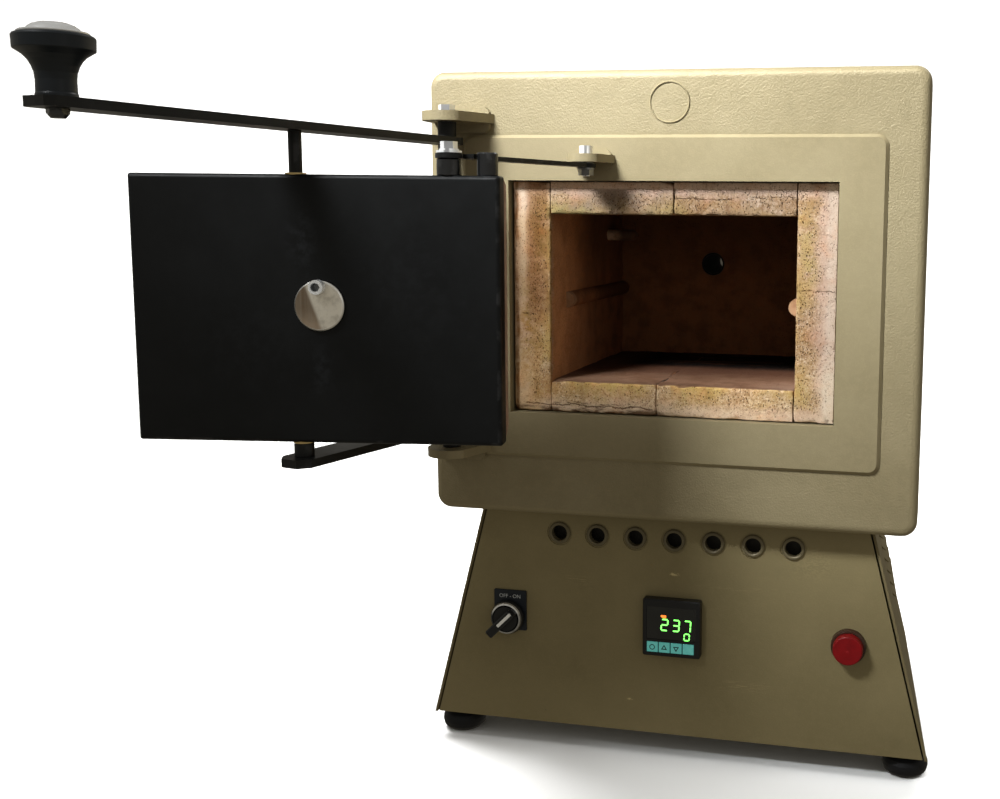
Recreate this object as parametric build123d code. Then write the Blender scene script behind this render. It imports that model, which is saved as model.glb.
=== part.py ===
from build123d import *
import math
import os

# Bench-top sintering furnace: cast front frame with a brick muffle, a tapered
# pedestal with the controls, and a refractory-backed door that swings out on a
# two-arm linkage.  Millimetres, +Z up, +X to the right of someone facing the
# front, front towards -Y.  Origin: middle of the four feet, on the bench.

# ---------------------------------------------------------------- dimensions
FOOT_H = 20.0          # rubber feet height
FOOT_D = 37.0
FY = -168.0            # front face of the cast frame
FRAME_HW = 195.5       # half width of the cast frame
FRAME_Z0, FRAME_Z1 = 207.0, 559.5
FRAME_DEPTH = 36.0
FRAME_PLATE = 14.0     # thickness of the front plate of the casting
PANEL_HW = 166.0       # raised panel round the opening
PANEL_Z0, PANEL_Z1 = 254.8, 510.0
PANEL_RISE = 3.0
OPEN_X0, OPEN_X1 = -128.2, 130.6
OPEN_Z0, OPEN_Z1 = 291.0, 475.0
BRICK_Y = FY + 4.0     # front faces of the muffle bricks
CH_X0, CH_X1 = -96.2, 99.0
CH_Z0, CH_Z1 = 316.8, 448.9
CH_DEPTH = 215.0
REAR_BRICK = 40.0
HOUSE_HW = 165.0
HOUSE_Z1 = 536.0
HOUSE_Y1 = 150.0
SHEET = 1.5
BASE_Y0, BASE_Y1 = -145.6, 144.0
BASE_HW_BOT, BASE_HW_TOP = 209.5, 162.0
BASE_TAPER = 25.5      # each side draws in by this towards the rear
BASE_SHEET = 2.0

# linkage (plan positions of the pivots with the door fully open)
AX, AY = -170.2, FY - 22.4          # arm pivot on the two cast lugs
ARM_A = 158.9                       # arm pivot to door pivot
ARM_K = 324.0                       # arm pivot to handle axis
ARM_ANG = -103.5                    # arm direction, door open
CLOSED_X, CLOSED_Y = -11.767, FY - 34.6   # door pivot with the door shut
DOOR_ANG = 9.1                      # door turned this far when open
BX, BY = -59.6, FY - 19.6           # link pivot on the cast ear
LINK_P, LINK_Q = 100.8, 0.4         # link stud in door coordinates
UP_Z0, UP_Z1 = 501.1, 506.6         # upper arm
LO_Z0, LO_Z1 = 280.8, 286.6         # lower arm
LINK_Z0, LINK_Z1 = 484.3, 487.3
LUG_T0, LUG_T1 = 518.9, 526.1       # top lug
LUG_B0, LUG_B1 = 257.9, 264.4       # bottom lug
EAR_Z0, EAR_Z1 = 488.2, 494.2       # link ear
TUBE_D = 14.0
ROD_D = 8.6
PIN_D = 8.0
RUN = 0.05                          # radial running clearance

# door, in its own coordinates: x along the door, y to its rear, pivot at 0,0
DOOR_X0, DOOR_X1 = -109.2, 135.1
DOOR_Z0, DOOR_Z1 = 296.9, 473.1
DOOR_F = -7.5                       # front face
TRAY_DEPTH = 13.0
DOOR_BACK = 38.0                    # rear face of the refractory plug
PLUG_TAPER = 3.4
PEEP_X, PEEP_Z = 16.4, 388.3        # peephole
PEEP_SCREW_Z = 400.6

os.makedirs("parts", exist_ok=True)
NODES = {}


def keep(name, shape):
    NODES[name] = shape
    return shape


def bx(x0, x1, y0, y1, z0, z1):
    b = Box(x1 - x0, y1 - y0, z1 - z0)
    return b.moved(Location(((x0 + x1) / 2, (y0 + y1) / 2, (z0 + z1) / 2)))


def cz(x, y, z0, z1, d):
    c = Cylinder(d / 2, z1 - z0)
    return c.moved(Location((x, y, (z0 + z1) / 2)))


def cy(x, z, y0, y1, d):
    c = Cylinder(d / 2, y1 - y0)
    return c.moved(Location((x, (y0 + y1) / 2, z), (90, 0, 0)))


def cx(y, z, x0, x1, d):
    c = Cylinder(d / 2, x1 - x0)
    return c.moved(Location(((x0 + x1) / 2, y, z), (0, 90, 0)))


def prism_z(pts, z0, z1):
    f = make_face(Polyline(*[(p[0], p[1], z0) for p in pts], close=True))
    return extrude(f, z1 - z0, dir=(0, 0, 1))


def prism_y(pts, y0, y1):
    """Outline in x,z carried from y0 to y1."""
    f = make_face(Polyline(*[(p[0], y0, p[1]) for p in pts], close=True))
    return extrude(f, y1 - y0, dir=(0, 1, 0))


def hexz(x, y, z0, z1, af):
    r = af / math.sqrt(3)
    pts = [(x + r * math.cos(math.radians(60 * i + 12)), y + r * math.sin(math.radians(60 * i + 12))) for i in range(6)]
    return prism_z(pts, z0, z1)


def edges_along(shape, axis):
    return shape.edges().filter_by(axis)


def revolve_z(pts, x, y):
    """Profile of (radius, z) turned round the vertical line through x,y."""
    f = make_face(Polyline(*[(p[0], 0, p[1]) for p in pts], close=True))
    return revolve(f, Axis.Z, 360).moved(Location((x, y, 0)))


def revolve_y(pts, x, z):
    """Profile of (radius, y) turned round the line through x,z along Y."""
    f = make_face(Polyline(*[(p[0], p[1], 0) for p in pts], close=True))
    return revolve(f, Axis.Y, 360).moved(Location((x, 0, z)))


# ---------------------------------------------------------------- cast frame
body = bx(-FRAME_HW, FRAME_HW, FY, FY + FRAME_DEPTH, FRAME_Z0, FRAME_Z1)
body = fillet(edges_along(body, Axis.Y), 12.0)
body = fillet(body.faces().sort_by(Axis.Y)[0].edges(), 7.0)
hollow = bx(-FRAME_HW + 9, FRAME_HW - 9, FY + FRAME_PLATE, FY + FRAME_DEPTH + 1, FRAME_Z0 + 9, FRAME_Z1 - 9)
hollow = fillet(edges_along(hollow, Axis.Y), 5.0)
body -= hollow
panel = bx(-PANEL_HW, PANEL_HW, FY - PANEL_RISE, FY + 2, PANEL_Z0, PANEL_Z1)
panel = fillet(edges_along(panel, Axis.Y), 9.0)
panel = chamfer(panel.faces().sort_by(Axis.Y)[0].edges(), 2.4)
body += panel
body -= bx(OPEN_X0, OPEN_X1, FY - 10, FY + FRAME_DEPTH + 5, OPEN_Z0, OPEN_Z1)
body -= bx(-HOUSE_HW - 0.3, HOUSE_HW + 0.3, FY + FRAME_PLATE, FY + FRAME_DEPTH + 1, FRAME_Z0 - 1, FRAME_Z0 + 9.5)
# blank ring medallion above the opening
body += revolve_y([(14.4, FY + 1), (14.4, FY - 0.2), (14.9, FY - 0.9), (15.5, FY - 0.9), (16.0, FY - 0.2), (16.0, FY + 1)], 0.5, 534.3)


def lug(z0, z1, ax, ay, rad, x_left, x_right, wall, pad):
    """Cast ear: rounded end round a pivot, tangent flanks back to the face."""
    pts = []
    a0 = math.degrees(math.atan2(ay - ay, -1))
    for i in range(0, 31):
        a = math.radians(180 + i * 6.0 * (142.0 / 180.0) * 1.0)
        pts.append((ax + rad * math.cos(a), ay + rad * math.sin(a)))
    pts.append((x_right, wall + 2))
    pts.append((x_left, wall + 2))
    s = prism_z(pts, z0, z1)
    if pad:
        p = bx(pad[0], pad[1], wall - pad[4], wall + 2, pad[2], pad[3])
        p = chamfer(edges_along(p, Axis.Y), 3.0)
        s += p
    return s


top_lug = lug(LUG_T0, LUG_T1, AX, AY, 18.7, AX - 18.7, -139.5, FY, (-190.0, -143.5, 511.6, 531.0, 4.0))
bot_lug = lug(LUG_B0, LUG_B1, AX, AY, 18.7, AX - 18.7, -143.5, FY, (-190.0, -150.0, 250.5, 268.5, 4.0))
ear = lug(EAR_Z0, EAR_Z1, BX, BY, 14.3, BX - 14.3, -41.0, FY - PANEL_RISE, (-71.0, -44.0, 483.0, 498.5, 3.0))
# the ear's pad stands clear of the sweeping link
ear -= bx(-80, -36, BY - 30, FY - PANEL_RISE - 1.2, 480.0, EAR_Z0)
body = body + top_lug + bot_lug + ear
body -= cz(AX, AY, LUG_T0 - 1, LUG_T1 + 1, PIN_D)
body -= cz(AX, AY, LUG_B0 - 1, LUG_B1 + 1, PIN_D)
body -= cz(BX, BY, EAR_Z0 - 1, EAR_Z1 + 1, 6.0)
# screw holes for the housing flange
FR_SCREWS = [(sx * 174.0, z) for sx in (-1, 1) for z in (240.0, 385.0, 528.0)]
for (x, z) in FR_SCREWS:
    body -= cy(x, z, FY + 5.0, FY + FRAME_PLATE + 1, 5.0)
keep("front_frame", body)

# ---------------------------------------------------------------- housing
y0h = FY + FRAME_PLATE
wrap = bx(-HOUSE_HW, HOUSE_HW, y0h, HOUSE_Y1, FRAME_Z0, HOUSE_Z1)
wrap = fillet([e for e in edges_along(wrap, Axis.Y) if e.center().Z > 400], 14.0)
inner = bx(-HOUSE_HW + SHEET, HOUSE_HW - SHEET, y0h - 1, HOUSE_Y1 + 1, FRAME_Z0 + SHEET, HOUSE_Z1 - SHEET)
inner = fillet([e for e in edges_along(inner, Axis.Y) if e.center().Z > 400], 12.5)
wrap -= inner
flange_l = bx(-183.0, -HOUSE_HW + 0.5, y0h, y0h + SHEET, 222.0, 546.0)
flange_r = bx(HOUSE_HW - 0.5, 183.0, y0h, y0h + SHEET, 222.0, 546.0)
flange_t = bx(-183.0, 183.0, y0h, y0h + SHEET, HOUSE_Z1 - 0.5, 546.0)
wrap = wrap + flange_l + flange_r + flange_t
for (x, z) in FR_SCREWS:
    wrap -= cy(x, z, y0h - 1, y0h + SHEET + 1, 5.4)
for sy in (-20.0, 90.0):
    for k in range(6):
        z = 330.0 + 14.0 * k
        wrap -= bx(-HOUSE_HW - 2, -HOUSE_HW + 3, sy - 24, sy + 24, z - 2, z + 2)
        wrap -= bx(HOUSE_HW - 3, HOUSE_HW + 2, sy - 24, sy + 24, z - 2, z + 2)
TC_Y, TC_Z = FY + 168.7, 430.2
wrap -= cx(TC_Y, TC_Z, -HOUSE_HW - 3, -HOUSE_HW + 3, 12.6)
keep("housing_shell", wrap)

scr = None
for (x, z) in FR_SCREWS:
    s = cy(x, z, FY + 6.0, y0h + SHEET, 4.9) + cy(x, z, y0h + SHEET, y0h + SHEET + 3.4, 9.0)
    s -= cy(x, z, y0h + SHEET + 1.6, y0h + SHEET + 4, 4.0)
    scr = s if scr is None else scr + s
panel_screws = scr

VX, VZ = -7.1, 402.9   # flue axis
rear = bx(-HOUSE_HW, HOUSE_HW, HOUSE_Y1, HOUSE_Y1 + SHEET, FRAME_Z0 + 1, HOUSE_Z1)
rear = fillet([e for e in edges_along(rear, Axis.Y) if e.center().Z > 400], 14.0)
lip = bx(-HOUSE_HW + 2.2, HOUSE_HW - 2.2, HOUSE_Y1 - 9, HOUSE_Y1, FRAME_Z0 + 3.2, HOUSE_Z1 - 2.2)
lip = fillet([e for e in edges_along(lip, Axis.Y) if e.center().Z > 400], 12.0)
lin = bx(-HOUSE_HW + 3.7, HOUSE_HW - 3.7, HOUSE_Y1 - 10, HOUSE_Y1 + 0.0, FRAME_Z0 + 4.7, HOUSE_Z1 - 3.7)
lin = fillet([e for e in edges_along(lin, Axis.Y) if e.center().Z > 400], 11.0)
rear += lip - lin
rear -= cy(VX, VZ, HOUSE_Y1 - 12, HOUSE_Y1 + 4, 25.0)
for k in range(6):
    for sx in (-1, 1):
        z = 490.0 - 10.0 * k
        rear -= bx(sx * 90 - 36, sx * 90 + 36, HOUSE_Y1 - 1, HOUSE_Y1 + 3, z - 2, z + 2)
        z = 250.0 + 10.0 * k
        rear -= bx(sx * 90 - 36, sx * 90 + 36, HOUSE_Y1 - 1, HOUSE_Y1 + 3, z - 2, z + 2)
REAR_SCR = [(sx * 152.0, z) for sx in (-1, 1) for z in (228.0, 371.0, 514.0)] + [(0.0, 522.0), (0.0, 222.0)]
for (x, z) in REAR_SCR:
    rear -= cy(x, z, HOUSE_Y1 - 1, HOUSE_Y1 + 3, 4.0)
keep("rear_cover", rear)
scr = None
for (x, z) in REAR_SCR:
    s = cy(x, z, HOUSE_Y1 - 8, HOUSE_Y1 + SHEET, 3.9) + revolve_y([(0, HOUSE_Y1 + SHEET), (3.7, HOUSE_Y1 + SHEET), (3.4, HOUSE_Y1 + SHEET + 1.5), (2.2, HOUSE_Y1 + SHEET + 2.5), (0, HOUSE_Y1 + SHEET + 2.7)], x, z)
    s -= bx(x - 2.2, x + 2.2, HOUSE_Y1 + SHEET + 1.5, HOUSE_Y1 + SHEET + 4, z - 0.45, z + 0.45)
    s -= bx(x - 0.45, x + 0.45, HOUSE_Y1 + SHEET + 1.5, HOUSE_Y1 + SHEET + 4, z - 2.2, z + 2.2)
    scr = s if scr is None else scr + s
panel_screws += scr

# ---------------------------------------------------------------- muffle
G = 0.8
ch_y1 = BRICK_Y + CH_DEPTH
LX0, RX1 = OPEN_X0 + 1.6, OPEN_X1 - 0.8
BZ0, BZ1 = OPEN_Z0 + 0.8, OPEN_Z1 - 0.8
RAIL_D = 13.0
RAIL_Z = 378.6
left = bx(LX0, CH_X0, BRICK_Y, ch_y1, BZ0, BZ1)
left = chamfer(left.faces().sort_by(Axis.Y)[0].edges(), 0.9)
left -= cy(CH_X0, RAIL_Z, BRICK_Y + 38, ch_y1 + 1, RAIL_D + 0.2)
left -= cx(TC_Y, TC_Z, LX0 - 1, CH_X0 + 1, 10.4)
right = bx(CH_X1, RX1, BRICK_Y, ch_y1, BZ0, BZ1)
right = chamfer(right.faces().sort_by(Axis.Y)[0].edges(), 0.9)
right -= cy(CH_X1, RAIL_Z + 1, BRICK_Y + 8, ch_y1 + 1, RAIL_D + 0.2)
keep("muffle_side_bricks", left + right)
pairs = {}
for nm, xa, xb, za, zb in (("muffle_roof_bricks", CH_X0 + G, 3.2 - G / 2, CH_Z1, BZ1),
                           ("muffle_roof_bricks", 3.2 + G / 2, CH_X1 - G, CH_Z1, BZ1),
                           ("muffle_floor_bricks", CH_X0 + G, -9.7 - G / 2, BZ0, CH_Z0),
                           ("muffle_floor_bricks", -9.7 + G / 2, CH_X1 - G, BZ0, CH_Z0)):
    b = bx(xa, xb, BRICK_Y, ch_y1, za, zb)
    b = chamfer(b.faces().sort_by(Axis.Y)[0].edges(), 0.9)
    pairs[nm] = pairs[nm] + b if nm in pairs else b
for nm in pairs:
    keep(nm, pairs[nm])
rb = bx(LX0, RX1, ch_y1, ch_y1 + REAR_BRICK, BZ0, BZ1)
rb -= cy(VX, VZ, ch_y1 - 1, ch_y1 + REAR_BRICK + 1, 22.4)
keep("muffle_rear_brick", rb)

keep("heating_rods", cy(CH_X0, RAIL_Z, BRICK_Y + 40, ch_y1 - 0.5, RAIL_D) + cy(CH_X1, RAIL_Z + 1, BRICK_Y + 9, ch_y1 - 0.5, RAIL_D))

# thermocouple: ceramic sheath with a domed tip, and its head outside
sheath = cx(TC_Y, TC_Z, -HOUSE_HW - 4, -73.4, 10.0)
sheath += Sphere(5.0).moved(Location((-73.4, TC_Y, TC_Z)))
keep("thermocouple_sheath", sheath)
head = cx(TC_Y, TC_Z, -HOUSE_HW - 18, -HOUSE_HW, 26.0)
head = fillet(head.edges().sort_by(Axis.X)[0], 3.0)
head -= cx(TC_Y, TC_Z, -HOUSE_HW - 4, -HOUSE_HW + 1, 10.0)
keep("thermocouple_head", head)

flue = cy(VX, VZ, ch_y1 + 1.0, HOUSE_Y1 + 16, 21.6) + cy(VX, VZ, HOUSE_Y1 + 15.2, HOUSE_Y1 + 34, 22.0)
flue -= cy(VX, VZ, ch_y1 - 1, HOUSE_Y1 + 40, 18.6)
keep("flue_tube", flue)
cowl = revolve_y([(10.85, HOUSE_Y1 + SHEET), (24.0, HOUSE_Y1 + SHEET), (24.0, HOUSE_Y1 + SHEET + 2), (13.5, HOUSE_Y1 + SHEET + 3.2), (13.5, HOUSE_Y1 + 14.6), (10.85, HOUSE_Y1 + 14.6)], VX, VZ)
keep("flue_collar", cowl)

# fibre lining between the muffle and the housing
lin_y0, lin_y1 = y0h + 4, HOUSE_Y1 - 12
blanket = bx(-HOUSE_HW + SHEET + 1, HOUSE_HW - SHEET - 1, lin_y0, lin_y1, FRAME_Z0 + SHEET + 0.5, HOUSE_Z1 - SHEET - 16)
blanket -= bx(LX0 - 0.3, RX1 + 0.3, lin_y0 - 1, ch_y1 + REAR_BRICK + 0.4, BZ0 - 0.3, BZ1 + 0.3)
blanket -= cy(VX, VZ, ch_y1, lin_y1 + 1, 22.6)
blanket -= cx(TC_Y, TC_Z, -HOUSE_HW - 1, LX0 + 1, 10.6)
keep("fibre_lining", blanket)

# ---------------------------------------------------------------- pedestal
Z_B0, Z_B1 = FOOT_H, FRAME_Z0
def side_panel(sx):
    p1 = Vector(sx * BASE_HW_BOT, BASE_Y0, Z_B0)
    p2 = Vector(sx * (BASE_HW_BOT - BASE_TAPER), BASE_Y1, Z_B0)
    p3 = Vector(sx * (BASE_HW_TOP - BASE_TAPER), BASE_Y1, Z_B1)
    p4 = Vector(sx * BASE_HW_TOP, BASE_Y0, Z_B1)
    n = (p2 - p1).cross(p4 - p1).normalized()
    if n.X * sx < 0:
        n = n * -1
    pl = Plane(origin=p1, x_dir=(p2 - p1).normalized(), z_dir=n)
    loc = [pl.to_local_coords(p) for p in (p1, p2, p3, p4)]
    face = make_face(Polyline(*[(p.X, p.Y, 0) for p in loc], close=True))
    s = extrude(face, -BASE_SHEET)
    # outward louvres, a column of six
    up = 1 if loc[3].Y > 0 else -1
    for k in range(6):
        yc = up * (95.0 + 11.0 * k)
        s -= Box(120, 5.0, 10).moved(Location((190, yc, 0)))
        pts = [(yc + up * 3.2, 0.0), (yc + up * 2.4, 0.2), (yc - up * 2.4, 3.2), (yc - up * 2.4, 2.2), (yc + up * 2.0, -1.2), (yc + up * 3.2, -1.2)]
        hood = extrude(make_face(Polyline(*[(130, a, b) for a, b in pts], close=True)), 120, dir=(1, 0, 0))
        s += hood
    s = s.moved(pl.location)
    return s


def trapezoid(inset, y0, y1, z0, z1, hwb=BASE_HW_BOT, hwt=BASE_HW_TOP):
    """Front outline of the pedestal, drawn in by inset each side."""
    def hw(z):
        return hwb + (hwt - hwb) * (z - Z_B0) / (Z_B1 - Z_B0) - inset
    return prism_y([(-hw(z0), z0), (hw(z0), z0), (hw(z1), z1), (-hw(z1), z1)], y0, y1)


def end_cut(s):
    """Trim the side sheets to the planes of the pedestal's ends, base and top."""
    return s & bx(-300, 300, BASE_Y0, BASE_Y1, Z_B0, Z_B1)


keep("base_side_panels", end_cut(side_panel(1)) + end_cut(side_panel(-1)))

FRONT_IN = BASE_SHEET + 1.6
front = trapezoid(FRONT_IN, BASE_Y0 + 0.4, BASE_Y0 + 2.4, Z_B0 + 0.6, Z_B1 - 0.4)
EYE_X = [-95.9 + 32.5 * i for i in range(7)]
EYE_Z = 186.3
EY0 = BASE_Y0 + 0.4
for x in EYE_X:
    front -= cy(x, EYE_Z, EY0 - 1, EY0 + 4, 15.4)
    front -= cy(x, EYE_Z, EY0 - 1, EY0 + 0.7, 21.4)
SWX, SWZ = -141.0, 111.4
LPX, LPZ = 144.9, 110.0
KX, KZ = 1.4, 114.4
front -= cy(SWX, SWZ, EY0 - 1, EY0 + 4, 22.2)
front -= cy(LPX, LPZ, EY0 - 1, EY0 + 4, 22.2)
front -= bx(KX - 22.5, KX + 22.5, EY0 - 1, EY0 + 4, KZ - 22.5, KZ + 22.5)
BF_SCR = [(-196.0, 34.0), (196.0, 34.0)]
keep("base_front_panel", front)

rear_in = BASE_TAPER + BASE_SHEET + 1.0
brear = trapezoid(rear_in, BASE_Y1 - 2.0, BASE_Y1 - 0.4, Z_B0 + 0.6, Z_B1 - 3.4)
INX, INZ = -96.0, 92.0
brear -= bx(INX - 14.2, INX + 14.2, BASE_Y1 - 4, BASE_Y1 + 2, INZ - 10.5, INZ + 10.5)
brear -= cy(-50.0, 92.0, BASE_Y1 - 4, BASE_Y1 + 2, 12.4)
for k in range(5):
    z = 70.0 + 12.0 * k
    brear -= bx(20, 110, BASE_Y1 - 4, BASE_Y1 + 2, z - 2, z + 2)
BR_SCR = [(-158.0, 36.0), (158.0, 36.0), (-125.0, 186.0), (125.0, 186.0)]
for (x, z) in BR_SCR:
    brear -= cy(x, z, BASE_Y1 - 4, BASE_Y1 + 2, 4.0)
keep("base_rear_panel", brear)
scr = None
for (x, z) in BR_SCR:
    ys = BASE_Y1 - 0.4
    s = cy(x, z, BASE_Y1 - 10, ys, 3.9) + revolve_y([(0, ys), (3.7, ys), (3.4, ys + 1.4), (2.2, ys + 2.3), (0, ys + 2.5)], x, z)
    s -= bx(x - 2.2, x + 2.2, ys + 1.4, ys + 4, z - 0.45, z + 0.45)
    s -= bx(x - 0.45, x + 0.45, ys + 1.4, ys + 4, z - 2.2, z + 2.2)
    scr = s if scr is None else scr + s
keep("panel_screws", panel_screws + scr)


def plan_plate(z0, z1, hw, inset):
    f, r = hw - inset, hw - BASE_TAPER - inset
    return prism_z([(-f, BASE_Y0 + 3.0), (f, BASE_Y0 + 3.0), (r, BASE_Y1 - 2.6), (-r, BASE_Y1 - 2.6)], z0, z1)


bot = plan_plate(Z_B0 + 0.2, Z_B0 + 2.2, BASE_HW_BOT, BASE_SHEET + 1.0)
FEET = [(-194.5, -123.0), (194.5, -123.0), (-171.0, 121.0), (171.0, 121.0)]
for (x, y) in FEET:
    bot -= cz(x * 0.985, y, Z_B0 - 1, Z_B0 + 4, 5.0)
keep("base_floor_plate", bot)
top = plan_plate(Z_B1 - 2.6, Z_B1, BASE_HW_TOP, BASE_SHEET + 0.9)
top -= bx(-40, 40, -60, 40, Z_B1 - 5, Z_B1 + 3)
# a lip bent down behind the eyelets keeps sparks and dust off the electrics
top += bx(-118, 118, BASE_Y0 + 15.0, BASE_Y0 + 17.0, 160.0, Z_B1 - 1.0)
keep("base_top_plate", top)

feet = None
fsc = None
for (x, y) in FEET:
    x = x * 0.985
    r = FOOT_D / 2
    prof = [(0, 0.0), (r - 7.5, 0.0), (r - 3.2, 1.2), (r - 0.9, 3.8), (r, 7.4), (r - 0.2, 10.6), (r - 1.6, 14.0), (r - 4.4, 17.2), (r - 8.0, 19.2), (r - 10.5, FOOT_H), (0, FOOT_H)]
    f = revolve_z(prof, x, y)
    f -= cz(x, y, -1, 7.0, 12.0)
    f -= cz(x, y, 5.0, FOOT_H + 1, 5.2)
    feet = f if feet is None else feet + f
    s = cz(x, y, 7.0, Z_B0 + 8.0, 5.0) + cz(x, y, 3.8, 7.0, 9.6)
    s = s + hexz(x, y, Z_B0 + 2.2, Z_B0 + 6.2, 8.0)
    fsc = s if fsc is None else fsc + s
keep("rubber_feet", feet)
keep("foot_screws", fsc)

# vent eyelets in the pedestal front
eye = None
for x in EYE_X:
    e = revolve_y([(6.6, EY0 - 0.9), (7.4, EY0 - 1.4), (8.6, EY0 - 1.2), (9.3, EY0 - 0.2), (9.3, EY0 + 0.7), (7.55, EY0 + 0.7), (7.55, EY0 + 5.0), (6.6, EY0 + 5.0)], x, EYE_Z)
    eye = e if eye is None else eye + e
keep("vent_eyelets", eye)

# selector switch
plate = bx(-153.6, -125.2, EY0 - 1.4, EY0, 99.8, 134.2)
plate = fillet(edges_along(plate, Axis.Y), 0.9)
plate -= cy(SWX, SWZ, EY0 - 3, EY0 + 1, 22.4)
keep("switch_legend_plate", plate)
ring = revolve_y([(10.6, EY0 - 1.4), (14.2, EY0 - 1.4), (14.4, EY0 - 5.0), (12.9, EY0 - 8.6), (11.7, EY0 - 9.0), (10.6, EY0 - 8.4)], SWX, SWZ)
keep("switch_bezel_ring", ring)
sbody = cy(SWX, SWZ, EY0 - 6.0, EY0 + 12, 21.0) + bx(SWX - 14, SWX + 14, EY0 + 12, EY0 + 46, SWZ - 15, SWZ + 15)
sbody += bx(SWX - 10, SWX + 10, EY0 + 46, EY0 + 52, SWZ - 11, SWZ + 11)
sbody += cy(SWX, SWZ, EY0 + 2.2, EY0 + 5.2, 27.0)
sbody -= cy(SWX, SWZ, EY0 - 7.0, EY0 + 8, 8.1)
keep("switch_body", sbody)
# rotary lever: disc with a raised bar pointing to ON, up and to the right
KNOB_ANG = 45.0
kn = cy(0, 0, EY0 - 9.4, EY0 - 6.2, 20.8) + cy(0, 0, EY0 - 6.3, EY0 + 7.5, 8.0)
bar = bx(-17.2, 11.4, EY0 - 19.0, EY0 - 9.0, -3.7, 3.7)
bar = fillet(edges_along(bar, Axis.Y), 1.8)
bar = chamfer(bar.faces().sort_by(Axis.Y)[0].edges(), 1.0)
kn = kn + bar
kn += bx(-4.5, 10.6, EY0 - 19.4, EY0 - 18.2, -1.2, 1.2)
kn = kn.moved(Location((0, 0, 0), (0, -KNOB_ANG, 0))).moved(Location((SWX, 0, SWZ)))
keep("switch_lever", kn)

# pilot lamp
lb = revolve_y([(10.6, EY0 - 5.6), (13.0, EY0 - 5.6), (13.8, EY0 - 4.6), (14.2, EY0), (10.6, EY0)], LPX, LPZ)
keep("lamp_bezel", lb)
lens = revolve_y([(0, EY0 - 12.5), (10.9, EY0 - 12.4), (11.6, EY0 - 12.0), (11.9, EY0 - 11.2), (12.1, EY0 - 5.7), (10.3, EY0 - 5.7), (10.3, EY0 - 1.0), (9.0, EY0 - 1.0), (9.0, EY0 - 9.5), (0, EY0 - 9.8)], LPX, LPZ)
keep("lamp_lens", lens)
lbody = cy(LPX, LPZ, EY0 - 0.9, EY0 + 34, 21.0) + cy(LPX, LPZ, EY0 + 2.2, EY0 + 5.2, 27.0)
keep("lamp_body", lbody)

# panel controller, 48 x 48
cf = EY0 - 8.0
case = bx(KX - 24, KX + 24, cf, EY0, KZ - 24, KZ + 24)
case = fillet(edges_along(case, Axis.Y), 1.6)
case = chamfer(case.faces().sort_by(Axis.Y)[0].edges(), 1.0)
case += bx(KX - 22.2, KX + 22.2, EY0 - 0.1, EY0 + 88, KZ - 22.2, KZ + 22.2)
case -= bx(KX - 20.6, KX + 20.6, cf - 1, cf + 1.6, KZ - 9.6, KZ + 17.8)
KEYW, KEYH = 9.0, 8.4
KEY_X = [KX - 15.6, KX - 5.6, KX + 4.4, KX + 14.4]
KEY_Z = KZ - 16.2
for x in KEY_X:
    case -= bx(x - KEYW / 2 - 0.3, x + KEYW / 2 + 0.3, cf - 1, cf + 4.0, KEY_Z - KEYH / 2 - 0.3, KEY_Z + KEYH / 2 + 0.3)
keep("controller_case", case)
keep("controller_window", bx(KX - 20.5, KX + 20.5, cf + 0.5, cf + 1.5, KZ - 9.5, KZ + 17.7))
for i, x in enumerate(KEY_X):
    k = bx(x - KEYW / 2, x + KEYW / 2, cf - 0.5, cf + 2.4, KEY_Z - KEYH / 2, KEY_Z + KEYH / 2)
    k = chamfer(k.faces().sort_by(Axis.Y)[0].edges(), 0.35)
    keep(("controller_key_mode", "controller_key_up", "controller_key_down", "controller_key_set")[i], k)

# electrics on the floor plate and rear panel
fz = Z_B0 + 2.2
keep("relay_heatsink", bx(30, 110, 10, 90, fz, fz + 6) + sum([bx(32 + 9.5 * i, 35 + 9.5 * i, 10, 90, fz + 5.9, fz + 26) for i in range(8)], Part()))
keep("solid_state_relay", bx(44, 89, 18, 76, fz + 26, fz + 50))
tb = bx(-80, 0, 30, 52, fz, fz + 20)
for i in range(6):
    tb -= cz(-72 + 12.6 * i, 41, fz + 12, fz + 21, 7.0)
keep("terminal_block", tb)
inlet = bx(INX - 13.8, INX + 13.8, BASE_Y1 - 24, BASE_Y1 - 0.4, INZ - 10.2, INZ + 10.2)
inlet += bx(INX - 22, INX + 22, BASE_Y1 - 0.4, BASE_Y1 + 2.6, INZ - 13, INZ + 13)
inlet -= bx(INX - 12.2, INX + 12.2, BASE_Y1 - 16, BASE_Y1 + 4, INZ - 8.2, INZ + 8.2)
for dx in (-7.0, 0.0, 7.0):
    inlet += bx(INX + dx - 1, INX + dx + 1, BASE_Y1 - 17, BASE_Y1 - 3, INZ - 2 + (2.2 if dx == 0 else 0), INZ + 2 + (2.2 if dx == 0 else 0))
keep("mains_inlet", inlet)
fuse = cy(-50.0, 92.0, BASE_Y1 - 36, BASE_Y1 - 0.4, 12.2) + cy(-50.0, 92.0, BASE_Y1 - 0.4, BASE_Y1 + 2.6, 16.0) + cy(-50.0, 92.0, BASE_Y1 + 2.5, BASE_Y1 + 9.6, 12.0)
fuse -= bx(-54.5, -45.5, BASE_Y1 + 8.2, BASE_Y1 + 11, 91.2, 92.8)
keep("fuse_holder", fuse)

# ---------------------------------------------------------------- swing arm
ua = math.radians(ARM_ANG)
CXO, CYO = AX + ARM_A * math.cos(ua), AY + ARM_A * math.sin(ua)
KXO, KYO = AX + ARM_K * math.cos(ua), AY + ARM_K * math.sin(ua)


def on_arm(shape):
    """From arm coordinates (pivot at 0,0, arm along +X) to the open position."""
    return shape.moved(Location((AX, AY, 0), (0, 0, ARM_ANG)))


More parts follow.
